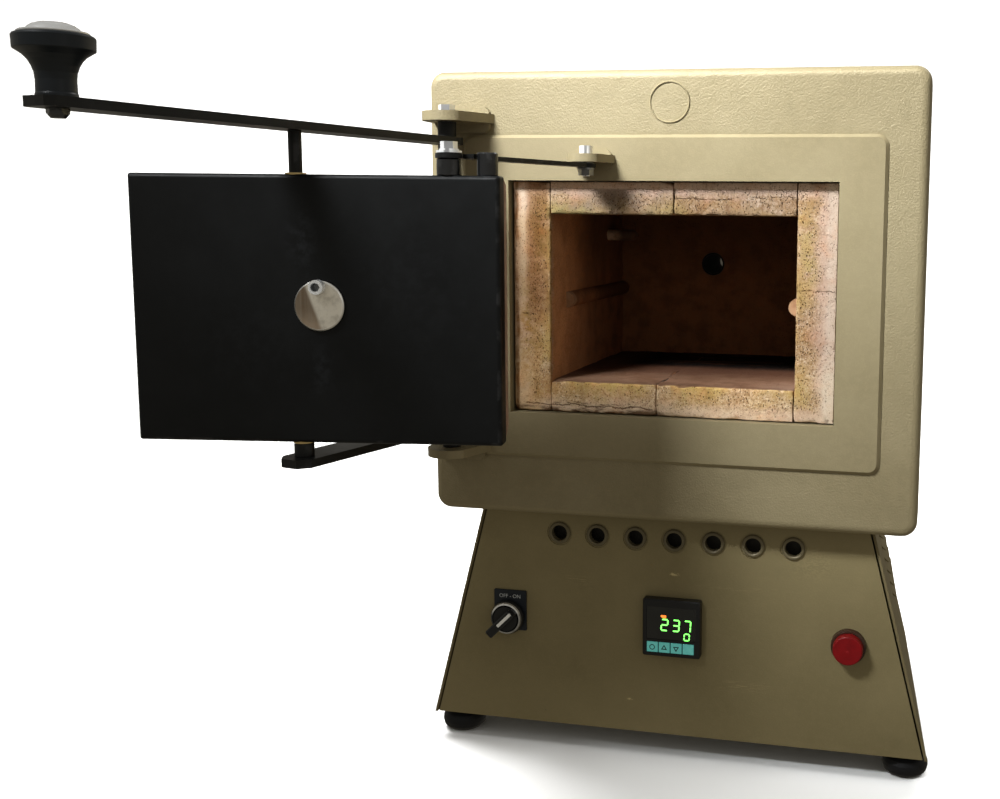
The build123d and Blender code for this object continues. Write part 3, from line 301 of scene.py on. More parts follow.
def firebrick(name):
    """Light insulating brick: porous, skinned outside, stained at the mouth, darker inside; painted light and shade on
    parts of the front and the chamber.
    """
    m = Mat(name)
    x, y, z = m.xyz()
    broad = m.noise(24.0, 5.0, 0.62)
    mid = m.noise(95.0, 4.0, 0.62)
    grain = m.noise(560.0, 3.0, 0.62)
    speck = m.noise(1500.0, 2.0, 0.6)
    col = m.mix(m.ramp(broad, 0.36, 0.66), (0.60, 0.425, 0.285), (0.50, 0.325, 0.170))
    col = m.mix(m.ramp(mid, 0.44, 0.68, 0.0, 0.55), col, (0.70, 0.545, 0.395))
    col = m.mix(m.ramp(grain, 0.42, 0.64, 0.0, 0.62), col, (0.32, 0.180, 0.085))
    col = m.mix(m.ramp(speck, 0.56, 0.70, 0.0, 0.45), col, (0.74, 0.60, 0.45))
    sand = m.noise(300.0, 4.0, 0.72)
    col = m.mix(m.ramp(sand, 0.40, 0.60, 0.55, 0.0), col, m.mix(1.0, col, (0.52, 0.43, 0.34), "MULTIPLY"))
    col = m.mix(m.ramp(m.noise(780.0, 2.0, 0.6), 0.56, 0.68, 0.0, 0.45), col, (0.80, 0.68, 0.53))
    # nearness to the chamber mouth, measured across the front face
    dx = m.math("MAXIMUM", m.math("SUBTRACT", CHX0, x), m.math("SUBTRACT", x, CHX1))
    dz = m.math("MAXIMUM", m.math("SUBTRACT", CHZ0, z), m.math("SUBTRACT", z, CHZ1))
    d = m.math("MAXIMUM", dx, dz)
    front = m.ramp(y, BY + 0.0045, BY + 0.0015)
    wob = m.math("MULTIPLY", m.math("SUBTRACT", m.noise(60.0, 4.0, 0.6), 0.5), 0.024)
    dw = m.math("ADD", d, wob)
    near = m.ramp(dw, 0.020, 0.001)
    stain = m.math("MULTIPLY", near, front)
    # skin further out is smoother, paler and a little pink
    skin = m.math("MULTIPLY", m.ramp(dw, 0.011, 0.021), front)
    pale = m.mix(m.ramp(m.noise(70.0, 4.0, 0.6), 0.40, 0.64), (0.66, 0.50, 0.395), (0.56, 0.405, 0.315))
    col = m.mix(m.math("MULTIPLY", skin, 0.66), col, pale)
    yel = m.math("MULTIPLY", stain, m.ramp(m.noise(30.0, 3.0), 0.40, 0.60, 0.0, 0.80))
    col = m.mix(yel, col, (0.42, 0.285, 0.085))
    streak = m.noise(54.0, 5.0, 0.68, m.stretched(1.0, 1.0, 0.35))
    col = m.mix(m.math("MULTIPLY", stain, m.ramp(streak, 0.50, 0.66, 0.0, 0.70)), col, (0.235, 0.120, 0.045))
    # green-yellow glaze at the upper corners, grey smear on the left roof brick
    for cx, cz, rx, rz, c in ((-0.1040, 0.4300, 0.010, 0.040, (0.250, 0.175, 0.062)), (-0.0780, 0.4520, 0.030, 0.007, (0.40, 0.36, 0.15)),
                              (0.1070, 0.4150, 0.008, 0.036, (0.47, 0.37, 0.15)), (-0.1160, 0.3600, 0.008, 0.050, (0.36, 0.24, 0.075)),
                              (-0.0100, 0.4510, 0.020, 0.006, (0.42, 0.32, 0.16)), (0.0600, 0.4520, 0.030, 0.007, (0.40, 0.27, 0.14))):
        g = m.math("MULTIPLY", m.spot(cx, BY, cz, rx * 1.5, 0.02, rz * 1.5), m.ramp(m.noise(120.0, 4.0, 0.65), 0.36, 0.58, 0.0, 0.90))
        col = m.mix(g, col, c)
    for cx, cz, rx, rz, a in ((-0.0350, 0.4600, 0.034, 0.012, 0.55), (-0.0750, 0.4560, 0.030, 0.005, 0.65), (-0.1230, 0.3150, 0.010, 0.030, 0.45)):
        g = m.math("MULTIPLY", m.spot(cx, BY, cz, rx * 1.4, 0.02, rz * 1.4), m.ramp(m.noise(90.0, 4.0, 0.65), 0.38, 0.62, 0.0, a))
        col = m.mix(g, col, (0.30, 0.245, 0.195))
    # brown rim line down the outer side of the left brick, whitish strip on the right one
    lnx = m.math("ADD", x, m.math("MULTIPLY", m.math("SUBTRACT", m.noise(40.0, 3.0), 0.5), 0.005))
    brn = m.math("MULTIPLY", m.ramp(m.math("ABSOLUTE", m.math("SUBTRACT", lnx, -0.1243)), 0.0022, 0.0006), front)
    col = m.mix(m.math("MULTIPLY", brn, m.ramp(m.noise(60.0, 4.0), 0.38, 0.58, 0.15, 0.85)), col, (0.19, 0.095, 0.040))
    wht = m.math("MULTIPLY", m.ramp(lnx, 0.1190, 0.1245), front)
    col = m.mix(m.math("MULTIPLY", wht, 0.50), col, (0.66, 0.57, 0.46))
    wht2 = m.math("MULTIPLY", m.math("MULTIPLY", m.ramp(m.math("ABSOLUTE", m.math("SUBTRACT", lnx, -0.1190)), 0.0035, 0.0010), front), m.ramp(z, 0.360, 0.420))
    col = m.mix(m.math("MULTIPLY", wht2, 0.45), col, (0.72, 0.62, 0.50))
    # pores: many small ones, a few larger, fewer in the skin
    keep = m.math("SUBTRACT", 1.0, m.math("MULTIPLY", skin, 0.55))
    tall = m.stretched(1.0, 1.0, 0.72)
    pore = m.math("MULTIPLY", m.math("MULTIPLY", m.ramp(m.voro(330.0, vec=tall), 0.22, 0.11), m.ramp(m.noise(170.0, 3.0, 0.6), 0.48, 0.55)), keep)
    pore2 = m.math("MULTIPLY", m.math("MULTIPLY", m.ramp(m.voro(680.0, vec=tall), 0.31, 0.14), m.ramp(m.noise(240.0, 3.0), 0.40, 0.50)), keep)
    pore3 = m.math("MULTIPLY", m.math("MULTIPLY", m.ramp(m.voro(1150.0), 0.36, 0.16), m.ramp(m.noise(120.0, 3.0), 0.40, 0.55)), keep)
    col = m.mix(m.math("MULTIPLY", pore, 0.88), col, (0.060, 0.028, 0.013))
    col = m.mix(m.math("MULTIPLY", pore2, 0.82), col, (0.090, 0.040, 0.018))
    col = m.mix(m.math("MULTIPLY", pore3, 0.72), col, (0.15, 0.075, 0.035))
    # broken hair cracks
    crack = None
    wig = m.math("MULTIPLY", m.math("SUBTRACT", m.noise(70.0, 5.0, 0.75), 0.5), 0.009)
    zz = m.math("ADD", z, wig)
    brk = m.ramp(m.noise(110.0, 2.0), 0.44, 0.54)
    for zc, x0, x1, w, whole in ((0.3935, 0.1010, 0.1290, 0.00038, 0), (0.3700, -0.1290, -0.1140, 0.00036, 0), (0.4612, 0.0040, 0.0500, 0.00042, 1), (0.4628, 0.0500, 0.0985, 0.00038, 0),
                                 (0.2972, -0.1180, -0.0120, 0.00070, 1), (0.2990, -0.0960, -0.0300, 0.00035, 0)):
        line = m.ramp(m.math("ABSOLUTE", m.math("SUBTRACT", zz, zc)), w, w * 0.4)
        inside = m.math("MULTIPLY", m.ramp(x, x0, x0 + 0.002), m.ramp(x, x1, x1 - 0.002))
        c = m.math("MULTIPLY", line, inside)
        if not whole:
            c = m.math("MULTIPLY", c, brk)
        crack = c if crack is None else m.math("MAXIMUM", crack, c)
    crack = m.math("MULTIPLY", crack, front)
    col = m.mix(m.math("MULTIPLY", crack, 0.80), col, (0.075, 0.034, 0.016))
    # broken, dirty lower rim
    low = m.math("MULTIPLY", m.math("MULTIPLY", m.ramp(m.math("ADD", z, m.math("MULTIPLY", wob, 0.25)), BZ_LO + 0.0055, BZ_LO + 0.0020), front), m.ramp(x, 0.020, -0.020))
    col = m.mix(m.math("MULTIPLY", low, m.ramp(m.noise(80.0, 4.0, 0.7, m.stretched(0.5, 1.0, 1.5)), 0.40, 0.54, 0.0, 0.90)), col, (0.060, 0.030, 0.016))
    chipc = m.math("MULTIPLY", m.spot(0.1290, BY, 0.2930, 0.011, 0.02, 0.007), m.ramp(m.noise(160.0, 3.0), 0.38, 0.50))
    col = m.mix(m.math("MULTIPLY", chipc, 0.95), col, (0.040, 0.020, 0.012))
    # the chamber: warm brown just inside, dark brown at the back, with painted shade on the upper back wall and the
    # ceiling
    ww = m.math("ADD", y, wob)
    t1 = m.ramp(ww, BY - 0.002, BY + 0.012)
    t2 = m.ramp(ww, BY + 0.035, BY + 0.125)
    inner = m.mix(m.ramp(m.noise(34.0, 5.0, 0.62), 0.36, 0.68), (0.56, 0.255, 0.102), (0.37, 0.160, 0.062))
    inner = m.mix(m.ramp(grain, 0.50, 0.68, 0.0, 0.40), inner, (0.12, 0.050, 0.020))
    col = m.mix(m.math("MULTIPLY", t1, 0.92), col, inner)
    deep = m.mix(m.ramp(m.noise(55.0, 5.0, 0.6), 0.40, 0.68), (0.255, 0.112, 0.050), (0.180, 0.080, 0.038))
    col = m.mix(m.math("MULTIPLY", t2, 0.96), col, deep)
    # painted shade: the upper back wall darkened
    col = m.mix(m.math("MULTIPLY", t2, m.ramp(z, 0.370, 0.440, 0.0, 0.55)), col, (0.070, 0.034, 0.018))
    up = m.xyz(m.normal())[2]
    # painted shade: the downward-facing ceiling faces darkened
    ceil = m.math("MULTIPLY", m.ramp(up, -0.6, -0.9), m.ramp(z, CHZ1 - 0.002, CHZ1 - 0.0005))
    col = m.mix(m.math("MULTIPLY", m.math("MULTIPLY", ceil, t1), 0.8), col, (0.130, 0.062, 0.036))
    # paler floor, with a scorched patch at the back
    floor = m.math("MULTIPLY", m.ramp(up, 0.6, 0.9), m.ramp(z, CHZ0 + 0.004, CHZ0 + 0.0015))
    fl = m.mix(m.ramp(m.noise(46.0, 5.0, 0.62), 0.38, 0.66), (0.36, 0.215, 0.135), (0.26, 0.140, 0.080))
    fl = m.mix(m.ramp(ww, BY + 0.015, BY + 0.090), fl, (0.120, 0.054, 0.028))
    wide = m.noise(42.0, 5.0, 0.68, m.stretched(0.30, 1.0, 1.0))
    scorch = m.math("MULTIPLY", m.math("MULTIPLY", m.ramp(y, BY + 0.098, BY + 0.130), m.ramp(x, -0.085, -0.050)), m.ramp(wide, 0.34, 0.46))
    fl = m.mix(m.math("MULTIPLY", scorch, 0.98), fl, (0.0045, 0.0035, 0.0030))
    fl = m.mix(m.math("MULTIPLY", m.math("MULTIPLY", m.spot(0.078, 0.000, CHZ0, 0.020, 0.024, 0.01), m.ramp(m.noise(260.0, 2.0, 0.5, m.stretched(0.6, 1.0, 1.0)), 0.60, 0.66)), 0.85), fl, (0.42, 0.36, 0.31))
    fl = m.mix(m.math("MULTIPLY", m.math("MULTIPLY", m.ramp(x, 0.060, 0.095), m.ramp(ww, BY + 0.05, BY + 0.015)), 0.45), fl, (0.58, 0.42, 0.32))
    col = m.mix(floor, col, fl)
    col = m.mix(m.math("SUBTRACT", 1.0, t1), col, m.mix(1.0, col, (0.84, 0.82, 0.79), "MULTIPLY"))
    col = m.mix(floor, col, m.mix(1.0, col, (0.50, 0.46, 0.44), "MULTIPLY"))
    seam = m.math("MULTIPLY", m.ramp(m.math("ABSOLUTE", m.math("ADD", x, 0.0097)), 0.0016, 0.0008), m.math("MULTIPLY", m.ramp(z, CHZ0 - 0.0001, CHZ0 - 0.0006), m.ramp(y, BY + 0.004, BY + 0.008)))
    col = m.mix(seam, col, m.mix(1.0, col, (0.30, 0.42, 0.60), "MULTIPLY"))
    # painted shade: the right-hand part of the front and the lowest edge of the left roof brick darkened
    side = m.math("MULTIPLY", m.math("MAXIMUM", m.ramp(x, 0.060, 0.120), m.math("MULTIPLY", m.math("MULTIPLY", m.ramp(z, 0.440, 0.4495), m.ramp(x, -0.100, -0.040)), 1.0)), front)
    col = m.mix(side, col, m.mix(1.0, col, (0.80, 0.80, 0.84), "MULTIPLY"))
    # painted light: the top strip of the front faces lightened, against the shadow cast by the casting's edge
    painted_light_top = m.math("MULTIPLY", m.ramp(z, 0.4680, 0.4698), front)
    col = m.mix(painted_light_top, col, m.mix(1.0, col, (1.60, 1.62, 1.62), "MULTIPLY"))
    # painted shade: the bottom row of the roof bricks darkened
    painted_shade_roof = m.math("MULTIPLY", m.math("MULTIPLY", m.ramp(z, 0.4486, 0.4490), m.ramp(z, 0.4698, 0.4670)), m.math("MULTIPLY", front, m.math("MULTIPLY", m.ramp(x, CHX0 - 0.0010, CHX0), m.ramp(x, CHX1, CHX1 - 0.0010))))
    col = m.mix(painted_shade_roof, col, m.mix(1.0, col, (0.78, 0.80, 0.84), "MULTIPLY"))
    # ochre stain on the outer left brick, partly painted shade
    ochre_and_painted_shade_left = m.math("MULTIPLY", m.ramp(x, -0.100, -0.108), m.math("MULTIPLY", front, m.ramp(z, 0.462, 0.440)))
    col = m.mix(ochre_and_painted_shade_left, col, m.mix(1.0, col, (0.88, 0.80, 0.66), "MULTIPLY"))
    # painted light: the lower front faces lightened
    painted_light_low = m.math("MULTIPLY", m.ramp(z, 0.352, 0.318), front)
    col = m.mix(painted_light_low, col, m.mix(1.0, col, (1.22, 1.27, 1.22), "MULTIPLY"))
    # painted shade: the upper part of the left brick's front beside the mouth darkened
    painted_shade_upper_left = m.math("MULTIPLY", m.math("MULTIPLY", m.ramp(x, -0.0955, -0.100), m.ramp(z, 0.350, 0.385)), m.math("MULTIPLY", front, m.ramp(x, -0.1190, -0.1120)))
    col = m.mix(painted_shade_upper_left, col, m.mix(1.0, col, (0.62, 0.52, 0.44), "MULTIPLY"))
    rgh = m.ramp(mid, 0.2, 0.8, 0.86, 0.97)
    n = m.bump(grain, 0.60, 0.0007)
    n = m.bump(speck, 0.35, 0.0003, n)
    n = m.bump(m.noise(60.0, 4.0, 0.65), 0.50, 0.0022, n)
    n = m.bump(m.math("SUBTRACT", 1.0, m.math("MAXIMUM", m.math("MAXIMUM", pore, pore2), crack)), 1.0, 0.0011, n)
    m.set(Base_Color=col, Roughness=rgh, Normal=n)
    m.b.inputs["Specular IOR Level"].default_value = 0.12
    return m.m


def ceramic(name, base, dark, rough=0.85, scale=240.0, amp=0.5, pores=True):
    m = Mat(name)
    col = m.mix(m.ramp(m.noise(34.0, 5.0, 0.62), 0.35, 0.68), base, dark)
    g = m.noise(scale, 4.0, 0.62)
    col = m.mix(m.ramp(g, 0.45, 0.7, 0.0, 0.45), col, tuple(c * 0.62 for c in dark))
    n = m.bump(g, amp, 0.0007)
    if pores:
        v = m.math("MULTIPLY", m.ramp(m.voro(360.0), 0.26, 0.12), m.ramp(m.noise(150.0, 2.0), 0.50, 0.58))
        col = m.mix(m.math("MULTIPLY", v, 0.85), col, (0.05, 0.025, 0.015))
        n = m.bump(m.math("SUBTRACT", 1.0, v), 0.9, 0.0008, n)
    m.set(Base_Color=col, Roughness=rough, Normal=n)
    m.b.inputs["Specular IOR Level"].default_value = 0.2
    return m.m


def glow(name, color, strength, base=(0.02, 0.03, 0.02)):
    m = Mat(name)
    f = m.noise(900.0, 2.0)
    col = m.mix(m.ramp(f, 0.3, 0.7), tuple(c * 0.82 for c in color), color)
    m.set(Base_Color=base, Roughness=0.4)
    m.link(col, m.b.inputs["Emission Color"])
    m.b.inputs["Emission Strength"].default_value = strength
    return m.m


GOLD = (0.262, 0.218, 0.126)
GOLD_D = (0.222, 0.182, 0.100)
M_CAST = gold_paint("cast_enamel", GOLD, GOLD_D, 0.52, 760.0, 0.44, metallic=0.16, mottle=0.14, panel=True, coat=0.0, spec=0.34)
M_SHEET = gold_paint("sheet_enamel", (0.250, 0.204, 0.104), (0.214, 0.174, 0.086), 0.50, 760.0, 0.14, metallic=0.22, mottle=0.07, coat=0.0, spec=0.28, scratches=(
    (-0.0800, -0.1452, 0.1470, 0.022, 0.02, 0.006, 0.30, "h"), (0.0600, -0.1452, 0.0680, 0.040, 0.02, 0.008, 0.30, "h"),
    (0.0020, -0.1452, 0.1580, 0.006, 0.02, 0.002, 1.00, "d"), (-0.0350, -0.1452, 0.0480, 0.004, 0.02, 0.0015, 0.8, "d"),
    (0.0600, -0.1452, 0.1500, 0.060, 0.02, 0.004, 0.16, "h"), (0.1150, -0.1452, 0.1750, 0.030, 0.02, 0.020, 0.10, "d")))
# painted shade: the base side panels get a darker, low-gloss copy of the sheet enamel
M_SIDE_SHADED = gold_paint("side_enamel_painted_shade", (0.185, 0.150, 0.080), (0.150, 0.120, 0.062), 0.62, 760.0, 0.14, metallic=0.0, mottle=0.07, coat=0.0, spec=0.06)
M_REAR = gold_paint("rear_enamel", (0.190, 0.155, 0.080), (0.160, 0.128, 0.064), 0.46, 700.0, 0.18, metallic=0.2, mottle=0.08)
# painted shade: the base's inner top and floor plates get a near-black enamel, so the vent eyelets look into shade
M_INNER_SHADE = gold_paint("inner_enamel_painted_shade", (0.030, 0.025, 0.015), (0.020, 0.016, 0.010), 0.60, 700.0, 0.18, metallic=0.0, mottle=0.08)
M_TRAY = black_paint("door_enamel", rough=0.48, peel=520.0, amp=0.16, spec=0.17, smears=(
    (-0.200, -0.352, 0.430, 0.016, 0.05, 0.030, 0.55), (-0.190, -0.352, 0.345, 0.012, 0.05, 0.026, 0.50),
    (-0.235, -0.352, 0.365, 0.060, 0.05, 0.060, 0.12), (-0.130, -0.340, 0.400, 0.060, 0.05, 0.080, 0.10)))
M_ARM = black_paint("arm_enamel", base=(0.0050, 0.0050, 0.0047), rough=0.42, peel=480.0, amp=0.22, dust=0.08, spec=0.24)
M_STUD = black_paint("blackened_steel", base=(0.0052, 0.0054, 0.0060), rough=0.18, peel=700.0, amp=0.42, dust=0.20, spec=0.6)
M_BAKE = moulded("bakelite", (0.0036, 0.0062, 0.0092), rough=0.38, amp=0.10, spec=0.34)
M_PLAST = moulded("black_plastic", (0.0062, 0.0066, 0.0074), rough=0.34, amp=0.25, spec=0.36)
M_PLATE = moulded("legend_plastic", (0.0070, 0.0100, 0.0150), rough=0.52, amp=0.35, spec=0.32)
M_RUB = moulded("foot_rubber", (0.0040, 0.0042, 0.0052), rough=0.55, amp=0.5, grain=700.0, spec=0.25)
M_ZINC = bare_metal("zinc_plate", (0.97, 0.97, 0.98), 0.20, brush=(1.0, 1.0, 0.12), dirt=0.22, amp=0.20, painted_reflection_bands=0.80, metallic=0.45)
M_CHROME = bare_metal("bright_metal", (0.80, 0.80, 0.79), 0.13, brush=(1.0, 1.0, 1.0), dirt=0.10, amp=0.04)
M_CAP = bare_metal("cap_metal", (0.80, 0.80, 0.80), 0.26, brush=(1.0, 1.0, 1.0), dirt=0.0, amp=0.0, scale=46.0, painted_reflection_bands=0.04, metallic=0.60)
M_STEEL = bare_metal("rolled_steel", (0.60, 0.57, 0.50), 0.36, brush=(1.0, 1.0, 0.05), dirt=0.35, amp=0.10)
M_ALU = bare_metal("extruded_aluminium", (0.72, 0.72, 0.73), 0.34, brush=(1.0, 0.05, 1.0))
box = [NODES["peephole_cover"].matrix_world @ Vector(c) for c in NODES["peephole_cover"].bound_box]
DISC = sum(box, Vector()) / 8
d_ = Mat("rolled_disc")
dx_, dy_, dz_ = d_.xyz()
dg = d_.noise(420.0, 3.0, 0.6, d_.stretched(1.0, 1.0, 0.05))
dsh = d_.ramp(d_.math("ADD", dx_, d_.math("MULTIPLY", d_.math("SUBTRACT", dz_, DISC[2]), 0.35)), DISC[0] - 0.0052, DISC[0] - 0.0022)
dr = d_.math("SQRT", d_.math("ADD", d_.math("POWER", d_.math("SUBTRACT", dx_, DISC[0]), 2.0), d_.math("POWER", d_.math("SUBTRACT", dz_, DISC[2]), 2.0)))
dlow = d_.mix(d_.ramp(d_.math("ADD", dz_, d_.math("MULTIPLY", dg, 0.003)), DISC[2] - 0.012, DISC[2] + 0.001), (0.46, 0.36, 0.27), (0.24, 0.180, 0.125))
dcol = d_.mix(dsh, dlow, (0.95, 0.90, 0.80))
dcol = d_.mix(d_.ramp(d_.noise(130.0, 4.0, 0.6), 0.45, 0.72, 0.0, 0.35), dcol, (0.22, 0.19, 0.15))
dcol = d_.mix(d_.ramp(dg, 0.35, 0.75, 0.0, 0.12), dcol, (0.80, 0.77, 0.70))
dcol = d_.mix(d_.ramp(dr, 0.0150, 0.0156, 0.0, 0.75), dcol, (0.97, 0.95, 0.90))
d_.set(Base_Color=dcol, Metallic=1.0, Roughness=d_.math("ADD", 0.30, d_.math("MULTIPLY", dg, 0.2)), Normal=d_.bump(dg, 0.10, 0.0002))
M_DISC = d_.m
s_ = Mat("cap_screw")
sx_, sy_, sz_ = s_.xyz()
sr = s_.math("SQRT", s_.math("ADD", s_.math("POWER", s_.math("ADD", sx_, 0.1892), 2.0), s_.math("POWER", s_.math("SUBTRACT", sz_, 0.4006), 2.0)))
sn = s_.noise(500.0, 3.0)
scol = s_.mix(s_.ramp(sn, 0.4, 0.7), (0.97, 0.98, 1.0), (0.80, 0.82, 0.84))
# painted shade: a dark disc at the centre stands for the shaded hex socket
scol = s_.mix(s_.ramp(sr, 0.0030, 0.0026), scol, (0.16, 0.17, 0.18))
s_.set(Base_Color=scol, Metallic=0.35, Roughness=s_.ramp(sn, 0.3, 0.7, 0.20, 0.32), Normal=s_.bump(sn, 0.15, 0.0002))
M_SCREW = s_.m
M_BRASS = bare_metal("bush_brass", (0.62, 0.47, 0.22), 0.32)
M_DARKSTEEL = bare_metal("dark_steel", (0.30, 0.30, 0.29), 0.34, dirt=0.5, painted_reflection_bands=0.6, metallic=0.7)
M_BRICK = firebrick("insulating_brick")
M_PLUG = ceramic("door_refractory", (0.42, 0.275, 0.205), (0.31, 0.185, 0.130))
c_ = Mat("clay_rod")
cx_, cy_, cz_ = c_.xyz()
cc = c_.mix(c_.ramp(c_.noise(60.0, 5.0, 0.62), 0.35, 0.68), (0.34, 0.200, 0.112), (0.26, 0.135, 0.068))
cd = c_.mix(c_.ramp(c_.noise(60.0, 5.0, 0.62), 0.35, 0.68), (0.260, 0.112, 0.046), (0.150, 0.062, 0.026))
lim = c_.math("ADD", c_.math("MULTIPLY", c_.ramp(cx_, -0.01, 0.01), -0.022), -0.1175)
cf_ = c_.ramp(c_.math("SUBTRACT", c_.math("ADD", cy_, c_.math("MULTIPLY", c_.noise(120.0, 3.0), 0.006)), lim), -0.002, 0.012)
cc = c_.mix(cf_, cc, cd)
cc = c_.mix(c_.ramp(c_.ramp(cy_, BY + 0.06, BY + 0.16), 0.0, 1.0), cc, (0.110, 0.048, 0.022))
cg = c_.noise(240.0, 4.0, 0.62)
c_.set(Base_Color=cc, Roughness=0.9, Normal=c_.bump(c_.noise(70.0, 3.0), 0.6, 0.003, c_.bump(cg, 0.6, 0.0009)))
c_.b.inputs["Specular IOR Level"].default_value = 0.12
M_CLAY = c_.m
t_ = Mat("alumina_sheath")
tx_, ty_, tz_ = t_.xyz()
tn = t_.noise(160.0, 4.0, 0.62)
tcol = t_.mix(t_.ramp(t_.math("ADD", tx_, t_.math("MULTIPLY", tn, 0.006)), -0.0900, -0.0780), (0.50, 0.345, 0.225), (0.095, 0.055, 0.033))
tcol = t_.mix(t_.ramp(tn, 0.45, 0.70, 0.0, 0.5), tcol, (0.10, 0.055, 0.030))
t_.set(Base_Color=tcol, Roughness=t_.ramp(tn, 0.3, 0.7, 0.55, 0.75), Normal=t_.bump(tn, 0.4, 0.0006))
t_.b.inputs["Specular IOR Level"].default_value = 0.2
M_SHEATH = t_.m
M_FIBRE = ceramic("ceramic_fibre", (0.80, 0.78, 0.73), (0.70, 0.67, 0.61), rough=0.98, amp=0.8, pores=False)
M_EYE = gold_paint("eyelet_enamel", (0.150, 0.124, 0.070), (0.105, 0.086, 0.048), 0.42, 900.0, 0.08, pits=False, metallic=0.1, grime=False, coat=0.0, spec=0.30)
M_DIGIT = glow("green_segments", (0.20, 1.0, 0.13), 2.9)
M_ORANGE = glow("orange_lamp", (1.0, 0.22, 0.03), 1.9)
M_WHITE = moulded("white_paint", (0.96, 0.96, 0.94), rough=0.40, amp=0.1)
M_LEGEND = moulded("grey_print", (0.40, 0.42, 0.43), rough=0.5, amp=0.1)

f_ = Mat("flue_steel")
fx, fy, fz = f_.xyz()
rad = f_.math("SQRT", f_.math("ADD", f_.math("POWER", f_.math("ADD", fx, 0.0071), 2.0), f_.math("POWER", f_.math("SUBTRACT", fz, 0.4029), 2.0)))
soot = f_.ramp(fy, 0.1250, 0.1000)
bore = f_.math("MULTIPLY", f_.math("MAXIMUM", soot, f_.ramp(rad, 0.0106, 0.0102)), f_.ramp(f_.math("ADD", fy, f_.math("MULTIPLY", f_.noise(150.0, 3.0), 0.010)), 0.1460, 0.1400))
fn = f_.noise(130.0, 4.0, 0.6)
fcol = f_.mix(f_.ramp(fn, 0.40, 0.66), (0.46, 0.43, 0.36), (0.33, 0.30, 0.24))
fcol = f_.mix(bore, fcol, (0.018, 0.014, 0.009))
f_.set(Base_Color=fcol, Metallic=f_.math("SUBTRACT", 0.8, f_.math("MULTIPLY", bore, 0.8)), Roughness=f_.math("ADD", 0.42, f_.math("MULTIPLY", bore, 0.45)), Normal=f_.bump(fn, 0.3, 0.0004))
M_FLUE = f_.m

z_ = Mat("switch_bezel")
zx, zy, zz_ = z_.xyz()
zr = z_.math("SQRT", z_.math("ADD", z_.math("POWER", z_.math("ADD", zx, 0.1410), 2.0), z_.math("POWER", z_.math("SUBTRACT", zz_, 0.1114), 2.0)))
lip = z_.math("MULTIPLY", z_.math("MULTIPLY", z_.ramp(zr, 0.0114, 0.0117), z_.ramp(zr, 0.0137, 0.0132)), z_.ramp(zy, -0.1521, -0.1526))
zn = z_.noise(400.0, 3.0)
# painted highlight: the metal lip is bright on the top arc and partly on the bottom and the right, dark elsewhere
wear_and_painted_highlight = z_.math("MAXIMUM", z_.ramp(zz_, 0.1130, 0.1190), z_.math("MAXIMUM", z_.ramp(zz_, 0.1030, 0.0992, 0.0, 0.50), z_.ramp(zx, -0.1380, -0.1300, 0.0, 0.42)))
z_.set(Base_Color=z_.mix(lip, z_.mix(z_.ramp(zn, 0.3, 0.7), (0.006, 0.0065, 0.0075), (0.011, 0.012, 0.013)), z_.mix(wear_and_painted_highlight, (0.070, 0.072, 0.076), z_.mix(z_.ramp(zn, 0.4, 0.7), (0.88, 0.88, 0.87), (0.70, 0.70, 0.69)))), Metallic=z_.math("MULTIPLY", lip, 0.85),
       Roughness=z_.math("SUBTRACT", 0.36, z_.math("MULTIPLY", lip, 0.18)), Normal=z_.bump(zn, 0.10, 0.0002))
M_BEZEL = z_.m

w = Mat("display_window")
w.set(Base_Color=w.mix(w.ramp(w.noise(80.0, 3.0), 0.3, 0.7), (0.0055, 0.0065, 0.0060), (0.010, 0.011, 0.010)),
      Roughness=w.ramp(w.noise(60.0, 4.0), 0.3, 0.7, 0.10, 0.22), Normal=w.bump(w.noise(300.0, 2.0), 0.05, 0.0001))
M_WIN = w.m

k = Mat("key_membrane")
k.set(Base_Color=k.mix(k.ramp(k.noise(300.0, 3.0), 0.35, 0.7), (0.112, 0.450, 0.410), (0.160, 0.530, 0.475)),
      Roughness=k.ramp(k.noise(200.0, 3.0), 0.3, 0.7, 0.34, 0.48), Normal=k.bump(k.noise(1100.0, 2.0), 0.25, 0.0001))
# painted light: the membrane keys glow faintly, though they are not lit
k.b.inputs["Emission Color"].default_value = (0.10, 0.46, 0.42, 1.0)
k.b.inputs["Emission Strength"].default_value = 0.32
M_KEY = k.m

r = Mat("red_lens")
ring = r.voro(1500.0, rnd=0.0)
r.set(Base_Color=r.mix(r.ramp(r.noise(160.0, 3.0), 0.3, 0.7), (0.205, 0.0030, 0.0050), (0.165, 0.0024, 0.0042)),
      Roughness=r.ramp(r.noise(90.0, 3.0), 0.3, 0.7, 0.36, 0.46), Normal=r.bump(ring, 0.14, 0.0002))
r.b.inputs["Specular IOR Level"].default_value = 0.22
M_LENS = r.m
M_LTRIM = moulded("lamp_trim", (0.030, 0.012, 0.007), rough=0.30, amp=0.12, spec=0.35)

